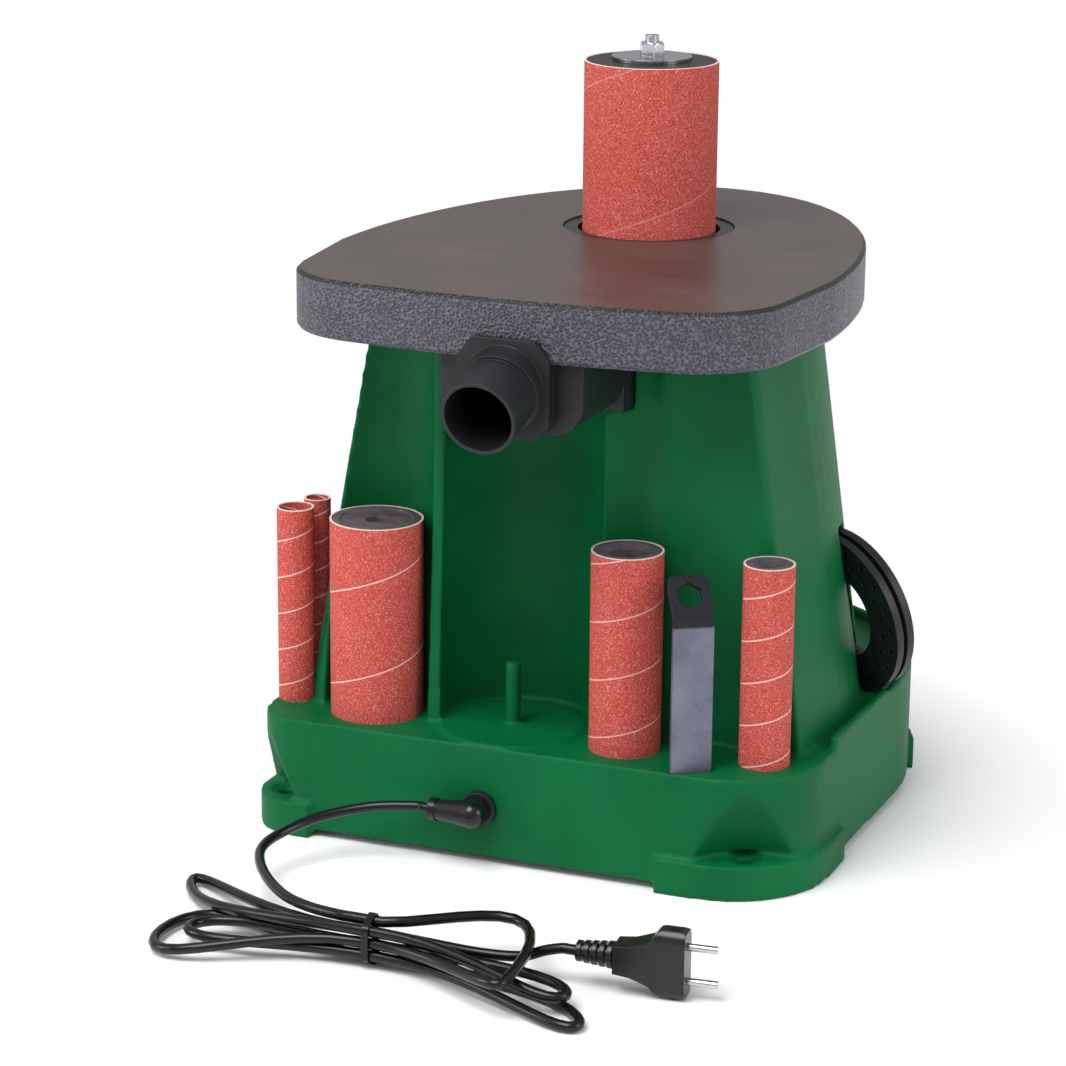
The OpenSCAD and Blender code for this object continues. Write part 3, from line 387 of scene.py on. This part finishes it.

# %% [markdown]
# ## Metals
# Bright zinc on the nut, and on the washer a darker copy of it that is painted dark reflection,
# turned steel on the shafts, dark stamped steel for the wrench with painted shade and a painted
# dark reflection on its head, grey castings inside, galvanised sheet under the foot, bronze for
# the wheel. Metal is mostly what it mirrors, so its finish lives in the roughness: brushed steel
# gets a noise that is stretched along the grain.

# %% Metal finishes
def metal(name, dark, light, low, high, brushed=None, grain=0.00002, metallic=1.0, edge=0.0005,
          painted_shade_above=None):
    f = Finish(name, Metallic=metallic, Specular_IOR_Level=0.5)
    cloud = f.noise(40, 5, 0.6)
    lines = f.noise(700, 3, 0.6, stretch=brushed or (1, 1, 1))
    tone = f.ramp(f.math("ADD", f.math("MULTIPLY", cloud, 0.5), f.math("MULTIPLY", lines, 0.5)),
                  [(0.35, dark), (0.65, light)])
    if painted_shade_above:
        # painted shade and painted dark reflection: above this height the colour turns near black,
        # with an uneven border to the brushed part
        xyz = f.add("ShaderNodeSeparateXYZ")
        f.join(f.place, xyz.inputs[0])
        wave = f.math("ADD", xyz.outputs["Z"], f.math("MULTIPLY", cloud, 0.002))
        head_painted_shade = f.ramp(f.math("MULTIPLY", f.math("SUBTRACT", wave, painted_shade_above), 500),
                      [(0.2, 0.0), (0.9, 1.0)])
        tone = f.mix(head_painted_shade, tone, f.ramp(lines, [(0.35, srgb(30, 31, 36)),
                                                (0.65, srgb(52, 53, 60))]))
    f.colour(tone)
    f.rough(f.math("ADD", f.math("MULTIPLY", lines, 0.6), f.math("MULTIPLY", cloud, 0.4)),
            low, high)
    f.edges(edge)
    f.bump(lines, grain)
    return f.done()


zinc = metal("bright_zinc", srgb(176, 178, 183), srgb(226, 227, 230), 0.1, 0.26, grain=0.000004)
# painted reflection: the washer is a darker copy of the bright zinc, standing in for the dark
# surroundings its polished face mirrors
washer_painted_dark_zinc = metal("washer_zinc_painted_dark_reflection", srgb(116, 117, 122), srgb(172, 173, 178), 0.1, 0.3,
                    grain=0.000004)
turned = metal("turned_steel", srgb(150, 152, 156), srgb(186, 187, 190), 0.2, 0.4, (1, 1, 12))
# the wrench's head above 151.5 mm gets painted shade and a painted dark reflection
stamped = metal("wrench_steel", srgb(92, 95, 110), srgb(134, 137, 152), 0.32, 0.52,
                (8, 8, 0.6), 0.00004, 0.7, painted_shade_above=0.1515)
sheet_zinc = metal("galvanised_sheet", srgb(128, 130, 133), srgb(160, 162, 165), 0.35, 0.6)
casting = metal("grey_casting", srgb(120, 122, 126), srgb(152, 153, 157), 0.45, 0.7,
                grain=0.0002, metallic=0.8)
bronze = metal("gear_bronze", srgb(160, 118, 60), srgb(196, 152, 86), 0.25, 0.45)
print("metals", 7)

# %% [markdown]
# ## Abrasive sleeves
# A sleeve is a strip of cloth with salmon-red grit, wound round and butted edge to edge, so a
# thin pale seam climbs it like a screw. The seam follows a rule: at height z and angle a it
# shows where z / pitch - a / 360 is a whole number. The same rule draws the line in the
# material and, later, sinks it in the mesh. The cut top edge shows the white backing.

# %% Grit finish
def grit(name, axis, pitch, shift, top, seam=0.0009, faint=1.0):
    f = Finish(name, Specular_IOR_Level=0.3)
    centre = f.add("ShaderNodeMapping")
    centre.inputs["Location"].default_value = (-axis[0], -axis[1], 0)
    f.join(f.place, centre.inputs["Vector"])
    xyz = f.add("ShaderNodeSeparateXYZ")
    f.join(centre.outputs[0], xyz.inputs[0])
    angle = f.math("MULTIPLY", f.math("ARCTAN2", xyz.outputs["Y"], xyz.outputs["X"]),
                   1 / (2 * math.pi))
    climb = f.math("SUBTRACT", f.math("MULTIPLY", xyz.outputs["Z"], 1 / pitch), angle)
    off = f.math("ABSOLUTE", f.math("SUBTRACT", f.math("FRACT", f.math("ADD", climb, shift)), 0.5))
    line = f.ramp(f.math("MULTIPLY", off, pitch / seam), [(0.3, 1.0), (0.62, 0.0)])
    line = f.math("MULTIPLY", line, faint)
    fine = f.noise(1750, 2, 0.6)
    coarse = f.noise(900, 2, 0.5)
    blotch = f.noise(60, 3)
    mixed = f.math("ADD", f.math("MULTIPLY", fine, 0.6), f.math("MULTIPLY", coarse, 0.4))
    base = f.ramp(mixed, [(0.32, srgb(122, 40, 36)), (0.45, srgb(176, 68, 60)),
                          (0.55, srgb(200, 92, 82)), (0.68, srgb(236, 168, 158))])
    tone = f.mix(f.math("MULTIPLY", blotch, 0.3), base, srgb(186, 70, 58))
    tone = f.mix(line, tone, srgb(232, 184, 176))
    rim = f.ramp(f.math("MULTIPLY", f.math("SUBTRACT", xyz.outputs["Z"], top - 0.001), 1000),
                 [(0.55, 0.0), (0.75, 1.0)])
    f.colour(f.mix(rim, tone, srgb(226, 204, 198)))
    f.rough(mixed, 0.75, 0.95)
    f.bump(mixed, 0.0004)
    return f.done()


print("grit finish ready")

# %% [markdown]
# ## Sleeves by Geometry Nodes
# A sleeve is a rule: a thin rectangle swept round a circle. The tree takes radius, length,
# wall and pitch as named inputs, sweeps the rectangle, then lowers the points that lie on the
# seam, so that the butt joint is a real groove. The result is kept as a plain mesh.

# %% A tree for sleeves
def node_tree(name, inputs):
    """An empty Geometry Nodes tree with named number inputs."""
    tree = bpy.data.node_groups.new(name, "GeometryNodeTree")
    tree.interface.new_socket("Geometry", in_out="INPUT", socket_type="NodeSocketGeometry")
    for label, kind, value in inputs:
        made = tree.interface.new_socket(label, in_out="INPUT", socket_type=kind)
        made.default_value = value
    tree.interface.new_socket("Geometry", in_out="OUTPUT", socket_type="NodeSocketGeometry")
    return tree, tree.nodes.new("NodeGroupInput"), tree.nodes.new("NodeGroupOutput")


def tree_node(tree, kind, values=(), **settings):
    """Adds one node: values are (socket, number or output) pairs."""
    made = tree.nodes.new(kind)
    for k, v in settings.items():
        setattr(made, k, v)
    for socket, value in values:
        if hasattr(value, "is_linked"):
            tree.links.new(value, made.inputs[socket])
        else:
            made.inputs[socket].default_value = value
    return made


def grow(tree, name, sizes, material, places=()):
    """Runs a tree on a mesh of these places with these sizes and returns the plain mesh."""
    start = bpy.data.meshes.new(name + "_places")
    start.from_pydata(places, [], [])
    holder = bpy.data.objects.new(name, start)
    bpy.context.scene.collection.objects.link(holder)
    mod = holder.modifiers.new("grow", "NODES")
    mod.node_group = tree
    for item in tree.interface.items_tree:
        if item.item_type == "SOCKET" and item.in_out == "INPUT" and item.name in sizes:
            mod[item.identifier] = sizes[item.name]
        if item.item_type == "SOCKET" and item.name == "Material":
            mod[item.identifier] = material
    bpy.context.view_layer.update()
    shape = holder.evaluated_get(bpy.context.evaluated_depsgraph_get())
    mesh = bpy.data.meshes.new_from_object(shape)
    holder.modifiers.clear()
    holder.data = mesh
    mesh.name = name
    return holder


def finish_tree(tree, out, geometry, group_in):
    """Every tree ends the same way: real geometry, then its material."""
    real = tree_node(tree, "GeometryNodeRealizeInstances", [(0, geometry)])
    paint = tree_node(tree, "GeometryNodeSetMaterial",
                      [("Geometry", real.outputs[0]), ("Material", group_in.outputs["Material"])])
    tree.links.new(paint.outputs[0], out.inputs[0])


def sleeve_tree():
    number, material = "NodeSocketFloat", "NodeSocketMaterial"
    tree, gi, go = node_tree("paper_sleeve", [
        ("Radius", number, 0.02), ("Wall", number, 0.0012), ("Length", number, 0.115),
        ("Pitch", number, 0.03), ("Shift", number, 0.0), ("Seam", number, 0.001),
        ("Groove", number, 0.0002)])
    tree.interface.new_socket("Material", in_out="INPUT", socket_type=material)
    math_node = lambda op, a, b=0.0: tree_node(
        tree, "ShaderNodeMath", [(0, a), (1, b)], operation=op).outputs[0]
    middle = math_node("SUBTRACT", gi.outputs["Radius"],
                       math_node("MULTIPLY", gi.outputs["Wall"], 0.5))
    ring = tree_node(tree, "GeometryNodeCurvePrimitiveCircle",
                     [("Resolution", 144), ("Radius", middle)])
    strip = tree_node(tree, "GeometryNodeCurvePrimitiveQuadrilateral",
                      [("Width", gi.outputs["Wall"]), ("Height", gi.outputs["Length"])])
    cuts = tree_node(tree, "GeometryNodeSubdivideCurve",
                     [("Curve", strip.outputs[0]), ("Cuts", 44)])
    tube = tree_node(tree, "GeometryNodeCurveToMesh",
                     [("Curve", ring.outputs[0]), ("Profile Curve", cuts.outputs[0])])
    spot = tree_node(tree, "GeometryNodeInputPosition")
    xyz = tree_node(tree, "ShaderNodeSeparateXYZ", [(0, spot.outputs[0])])
    angle = math_node("MULTIPLY", math_node("ARCTAN2", xyz.outputs["Y"], xyz.outputs["X"]),
                      1 / (2 * math.pi))
    climb = math_node("SUBTRACT", math_node("DIVIDE", xyz.outputs["Z"], gi.outputs["Pitch"]),
                      angle)
    off = math_node("ABSOLUTE", math_node("SUBTRACT", math_node(
        "FRACT", math_node("ADD", climb, gi.outputs["Shift"])), 0.5))
    near = math_node("LESS_THAN", math_node("MULTIPLY", off, gi.outputs["Pitch"]),
                     gi.outputs["Seam"])
    flat = tree_node(tree, "ShaderNodeCombineXYZ",
                     [("X", xyz.outputs["X"]), ("Y", xyz.outputs["Y"])])
    reach = tree_node(tree, "ShaderNodeVectorMath", [(0, flat.outputs[0])], operation="LENGTH")
    outer = math_node("GREATER_THAN", reach.outputs["Value"], middle)
    way = tree_node(tree, "ShaderNodeVectorMath", [(0, flat.outputs[0])], operation="NORMALIZE")
    sink = math_node("MULTIPLY", math_node("MULTIPLY", near, outer),
                     math_node("MULTIPLY", gi.outputs["Groove"], -1.0))
    shift = tree_node(tree, "ShaderNodeVectorMath", [(0, way.outputs[0])], operation="SCALE")
    tree.links.new(sink, shift.inputs["Scale"])
    moved = tree_node(tree, "GeometryNodeSetPosition",
                      [("Geometry", tube.outputs[0]), ("Offset", shift.outputs[0])])
    finish_tree(tree, go, moved.outputs[0], gi)
    return tree


sleeve_maker = sleeve_tree()
print("sleeve tree with", len(sleeve_maker.nodes), "nodes")

# %% [markdown]
# ## Helpers that take over a solid
# A solid whose shape is right keeps its place and only gets a finish. Where it should look
# rounder, a copy takes over: the copy's loose triangles are merged, its curved faces shaded
# smooth and its sharp edges kept.

# %% Taking over a solid
replaced = []


def paint(material, *names):
    """Gives the solids this finish."""
    for n in names:
        node[n].data.materials.clear()
        node[n].data.materials.append(material)


def tidy_normals(obj, degrees):
    bm = bmesh.new()
    bm.from_mesh(obj.data)
    for face in bm.faces:
        face.smooth = True
    for edge in bm.edges:
        if len(edge.link_faces) == 2:
            edge.smooth = edge.calc_face_angle(0) < math.radians(degrees)
    bm.to_mesh(obj.data)
    bm.free()


def own_copy(name, material, degrees=32):
    """A merged, smoothly shaded copy of a solid that stands for it."""
    piece = bpy.data.objects.new("dressed_" + name, node[name].data.copy())
    bpy.context.scene.collection.objects.link(piece)
    bm = bmesh.new()
    bm.from_mesh(piece.data)
    bmesh.ops.remove_doubles(bm, verts=bm.verts, dist=1e-6)
    bmesh.ops.dissolve_degenerate(bm, edges=bm.edges, dist=1e-7)
    bm.to_mesh(piece.data)
    bm.free()
    tidy_normals(piece, degrees)
    piece.data.materials.clear()
    piece.data.materials.append(material)
    take_over(piece, name)
    return piece


def take_over(piece, name):
    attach(piece, body_of_node[name])
    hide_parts(name)
    replaced.append(name)


def build(name, verts, faces, material, smooth=True):
    mesh = bpy.data.meshes.new(name)
    mesh.from_pydata(verts, [], faces)
    mesh.materials.append(material)
    for polygon in mesh.polygons:
        polygon.use_smooth = smooth
    obj = bpy.data.objects.new(name, mesh)
    bpy.context.scene.collection.objects.link(obj)
    return obj


print("ready to take over solids")

# %% [markdown]
# ## The housing, softened
# An injection moulding has no sharp edge outside. The solid is merged, rebuilt from small
# cubes by Remesh, and relaxed a little, which rounds every edge by a millimetre or two, as the
# mould does. Decimate then takes the faces away where it is flat.

# %% Soften the housing
def softened(name, material, voxel, rounds, keep):
    piece = bpy.data.objects.new("soft_" + name, node[name].data.copy())
    bpy.context.scene.collection.objects.link(piece)
    bm = bmesh.new()
    bm.from_mesh(piece.data)
    bmesh.ops.remove_doubles(bm, verts=bm.verts, dist=1e-6)
    bm.to_mesh(piece.data)
    bm.free()
    remesh = piece.modifiers.new("cubes", "REMESH")
    remesh.mode, remesh.voxel_size, remesh.adaptivity = "VOXEL", voxel, 0
    relax = piece.modifiers.new("relax", "SMOOTH")
    relax.factor, relax.iterations = 0.5, rounds
    fewer = piece.modifiers.new("fewer", "DECIMATE")
    fewer.ratio = keep
    shape = piece.evaluated_get(bpy.context.evaluated_depsgraph_get())
    mesh = bpy.data.meshes.new_from_object(shape)
    piece.modifiers.clear()
    piece.data = mesh
    for polygon in mesh.polygons:
        polygon.use_smooth = True
    mesh.materials.clear()
    mesh.materials.append(material)
    take_over(piece, name)
    print(name, "softened to", len(mesh.polygons), "faces")
    return piece


housing = softened("body_housing", green, 0.0015, 3, 0.25)

# %% [markdown]
# ## The storage posts
# The relaxing makes a thin post thinner, so four of the six posts are grown again at their full
# width over the softened ones. A post is a straight rail whose round profile changes on the way up:
# wide at the foot, where the mould has a fillet, and closed like a dome at the tip.

# %% Posts by Geometry Nodes
POST_PLACES = [(100.5, 167), (-53, 171), (-133, 165), (18.5, 161)]
POST_FOOT = 68.6


def post_tree():
    number = "NodeSocketFloat"
    tree, gi, go = node_tree("storage_posts", [
        ("Radius", number, 0.00425), ("Height", number, 0.0384), ("Fillet", number, 0.0016)])
    tree.interface.new_socket("Material", in_out="INPUT", socket_type="NodeSocketMaterial")
    calc = lambda op, a, b=0.0: tree_node(
        tree, "ShaderNodeMath", [(0, a), (1, b)], operation=op).outputs[0]
    radius, height, fillet = (gi.outputs[k] for k in ("Radius", "Height", "Fillet"))
    tip = tree_node(tree, "ShaderNodeCombineXYZ", [("Z", height)])
    rail = tree_node(tree, "GeometryNodeCurvePrimitiveLine", [("End", tip.outputs[0])])
    steps = tree_node(tree, "GeometryNodeResampleCurve", [("Curve", rail.outputs[0]),
                                                          ("Count", 80)])
    way = tree_node(tree, "GeometryNodeSplineParameter").outputs["Factor"]
    z = calc("MULTIPLY", way, height)
    into_dome = calc("MAXIMUM", calc("DIVIDE", calc("SUBTRACT", z, calc(
        "SUBTRACT", height, radius)), radius), 0.0)
    dome = calc("SQRT", calc("MAXIMUM", calc("SUBTRACT", 1.0, calc(
        "MULTIPLY", into_dome, into_dome)), 0.002))
    low = calc("MAXIMUM", calc("SUBTRACT", 1.0, calc("DIVIDE", z, calc(
        "MULTIPLY", fillet, 2.0))), 0.0)
    flare = calc("MULTIPLY", calc("MULTIPLY", low, low), fillet)
    wide = calc("ADD", calc("MULTIPLY", radius, dome), flare)
    ring = tree_node(tree, "GeometryNodeCurvePrimitiveCircle", [("Resolution", 40),
                                                               ("Radius", 1.0)])
    post = tree_node(tree, "GeometryNodeCurveToMesh",
                     [("Curve", steps.outputs[0]), ("Profile Curve", ring.outputs[0]),
                      ("Scale", wide), ("Fill Caps", True)])
    copies = tree_node(tree, "GeometryNodeInstanceOnPoints",
                       [("Points", gi.outputs[0]), ("Instance", post.outputs[0])])
    finish_tree(tree, go, copies.outputs[0], gi)
    return tree


places = [at(x, y, POST_FOOT) for x, y in POST_PLACES]
posts = grow(post_tree(), "green_posts", {"Radius": 0.00425, "Height": 0.0384, "Fillet": 0.0016},
             green, places)
tidy_normals(posts, 50)
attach(posts, "frame")
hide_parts("body_housing")
print("posts", len(places), "in", len(posts.data.polygons), "faces")

# %% [markdown]
# ## Table, drums and the parts one touches
# These solids have the right shape already. Merged copies shade their round faces smoothly.

# %% Smooth copies
table = own_copy("table", table_grey, 25)
for n in ("drum_51", "drum_38", "drum_26"):
    own_copy(n, drum_rubber)
own_copy("drum_76", work_rubber)
for n in ("table_insert", "dust_port", "dust_duct", "stored_insert_a", "stored_insert_b",
          "cord_gland", "switch_frame"):
    own_copy(n, black)
for n in ("drum_nut", "drum_flange", "plug_pins"):
    own_copy(n, zinc)
# the washer's darker zinc is a painted dark reflection
own_copy("top_washer", washer_painted_dark_zinc)
own_copy("spindle", turned)
own_copy("wrench", stamped)
for n in ("strain_relief", "plug_relief", "plug_body"):
    own_copy(n, glossy_black)
own_copy("button_on", button_green)
own_copy("button_off", button_red)
print("smooth copies", len(replaced))

# %% [markdown]
# ## Finishes of the works inside
# The carrier, the motor, the worm and its wheel are seen only when the housing is lifted off,
# but each gets its own metal or rubber.

# %% Paint the inside
paint(casting, "carrier", "gear_bracket")
paint(turned, "motor_shaft", "drive_hub", "upper_bearing", "lower_bearing", "lift_yoke")
paint(casting, "motor_pulley", "motor_case")
paint(bronze, "worm_wheel")
paint(belt_rubber, "belt")
paint(white_case, "capacitor")
paint(cord_skin, "inner_lead", "cord_tie")
paint(sheet_zinc, "bottom_plate")
paint(zinc, "plate_screws", "table_bolts")
print("inside painted")

# %% [markdown]
# ## Grow the sleeves
# Each sleeve gets the pitch that the photograph shows for its width, its own place and its own
# finish, because the seam is centred on its own axis.

# %% Sleeves
sleeve_facts = {
    # name: nominal width, x, y, lowest z, pitch in mm, shift of the seam, strength of the seam
    "sleeve_76": (76, 0, 0, 313.6, 90, 0.01, 0.3),
    "sleeve_51": (51, 100.5, 167, 69, 54.5, 0.0, 1.0),
    "sleeve_38": (38, -53, 171, 69, 33.5, 0.31, 0.8),
    "sleeve_26": (26, -133, 165, 69, 24.2, -0.21, 1.0),
    "sleeve_19": (19, 153, 164, 69, 21.7, 0.06, 1.0),
    "sleeve_13": (13, 150, 141, 69, 16.5, 0.2, 1.0),
}
SLEEVE_WALL = 1.2
for name, (width, x, y, low, pitch, shift, faint) in sleeve_facts.items():
    box_low, box_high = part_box(name)
    radius = (box_high[0] - box_low[0]) / 2
    length = box_high[2] - box_low[2]
    finish = grit("grit_" + name, at(x, y, 0), pitch / 1000, shift, box_high[2], faint=faint)
    middle = Vector(((box_low[0] + box_high[0]) / 2, (box_low[1] + box_high[1]) / 2,
                     (box_low[2] + box_high[2]) / 2))
    turns = (shift + middle.z / (pitch / 1000)) % 1
    sleeve = grow(sleeve_maker, "paper_" + name, {
        "Radius": radius, "Wall": SLEEVE_WALL / 1000, "Length": length,
        "Pitch": pitch / 1000, "Shift": turns, "Seam": 0.0007,
        "Groove": 0.00015}, finish)
    sleeve.data.transform(Matrix.Translation(middle))
    tidy_normals(sleeve, 40)
    take_over(sleeve, name)
    print(name, len(sleeve.data.polygons), "faces, radius", round(radius * 1000, 2))

# %% [markdown]
# ## The cord itself
# The route from the first cells becomes one poly curve with a round bevel. It takes over the
# three solids of the cord, and the tie and the plug go with it.

# %% Cord
curve = bpy.data.curves.new("mains_cord", "CURVE")
curve.dimensions = "3D"
curve.bevel_depth = CORD / 2000
curve.bevel_resolution = 4
curve.use_fill_caps = True
spline = curve.splines.new("POLY")
spline.points.add(len(cord_line) - 1)
for point, place in zip(spline.points, cord_line):
    point.co = (*place, 1)
spline.use_smooth = True
cord = bpy.data.objects.new("mains_cord", curve)
bpy.context.scene.collection.objects.link(cord)
curve.materials.append(cord_skin)
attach(cord, "frame")
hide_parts("cord_lead", "cord_hank", "cord_tail")

# %% [markdown]
# ## Floor and light
# The photograph is a cut-out on white with a soft shadow. The floor is a pale sheet that glows
# white only for the camera, more so away from the machine, and keeps the shadow near it. One
# broad lamp from above and behind the camera and two weak ones at the sides light it softly.

# %% Floor
floor_mesh = bpy.data.meshes.new("floor")
floor_mesh.from_pydata([(-4, -4, -0.0002), (4, -4, -0.0002), (4, 4, -0.0002), (-4, 4, -0.0002)],
                       [], [(0, 1, 2, 3)])
floor = bpy.data.objects.new("floor", floor_mesh)
bpy.context.scene.collection.objects.link(floor)
f = Finish("floor_white", Base_Color=(0.93, 0.93, 0.93, 1), Roughness=0.9,
           Specular_IOR_Level=0.1)
path = f.add("ShaderNodeLightPath")
glow = f.add("ShaderNodeEmission")
glow.inputs["Strength"].default_value = 1
blend = f.add("ShaderNodeMixShader")
oval = f.add("ShaderNodeMapping")
oval.inputs["Location"].default_value = (0, -0.1, 0)
oval.inputs["Scale"].default_value = (1.25, 1, 1)
f.join(f.place, oval.inputs["Vector"])
far = f.add("ShaderNodeVectorMath", operation="LENGTH")
f.join(oval.outputs[0], far.inputs[0])
away = f.ramp(far.outputs["Value"], [(0.27, 0.0), (0.42, 1.0)])
seen = f.math("MAXIMUM", path.outputs["Is Camera Ray"],
              f.math("MAXIMUM", path.outputs["Is Glossy Ray"], path.outputs["Is Transmission Ray"]))
f.join(f.math("MULTIPLY", seen, away), blend.inputs[0])
f.join(f.shader.outputs[0], blend.inputs[1])
f.join(glow.outputs[0], blend.inputs[2])
out = next(n for n in f.nt.nodes if n.type == "OUTPUT_MATERIAL")
f.join(blend.outputs[0], out.inputs["Surface"])
floor_mesh.materials.append(f.mat)
print("floor made")

# %% World and lamps
world = bpy.data.worlds.new("pale_room")
bpy.context.scene.world = world
world.use_nodes = True
wt = world.node_tree
wt.nodes.clear()
room = wt.nodes.new("ShaderNodeBackground")
room.inputs["Color"].default_value = (0.97, 0.98, 1.0, 1)
room.inputs["Strength"].default_value = 0.5
white = wt.nodes.new("ShaderNodeBackground")
white.inputs["Color"].default_value = (1, 1, 1, 1)
white.inputs["Strength"].default_value = 1.0
pick = wt.nodes.new("ShaderNodeMixShader")
ray = wt.nodes.new("ShaderNodeLightPath")
world_out = wt.nodes.new("ShaderNodeOutputWorld")
wt.links.new(ray.outputs["Is Camera Ray"], pick.inputs[0])
wt.links.new(room.outputs[0], pick.inputs[1])
wt.links.new(white.outputs[0], pick.inputs[2])
wt.links.new(pick.outputs[0], world_out.inputs["Surface"])


def soft_lamp(name, place, target, size, power):
    data = bpy.data.lights.new(name, "AREA")
    data.shape, data.size, data.energy = "DISK", size, power
    lamp = bpy.data.objects.new(name, data)
    lamp.location = place
    aim = (Vector(target) - Vector(place)).to_track_quat("-Z", "Y")
    lamp.rotation_mode = "QUATERNION"
    lamp.rotation_quaternion = aim
    bpy.context.scene.collection.objects.link(lamp)
    return lamp


soft_lamp("key_above", (0.3, 1.2, 1.9), (0, 0, 0.2), 1.4, 38)
soft_lamp("left_side", (1.5, 0.9, 0.7), (0, 0, 0.2), 0.9, 9)
soft_lamp("right_side", (-1.7, 0.3, 0.8), (0, 0, 0.2), 0.9, 9)
view = bpy.context.scene.view_settings
view.view_transform = "Standard"
print("lamps", 3)
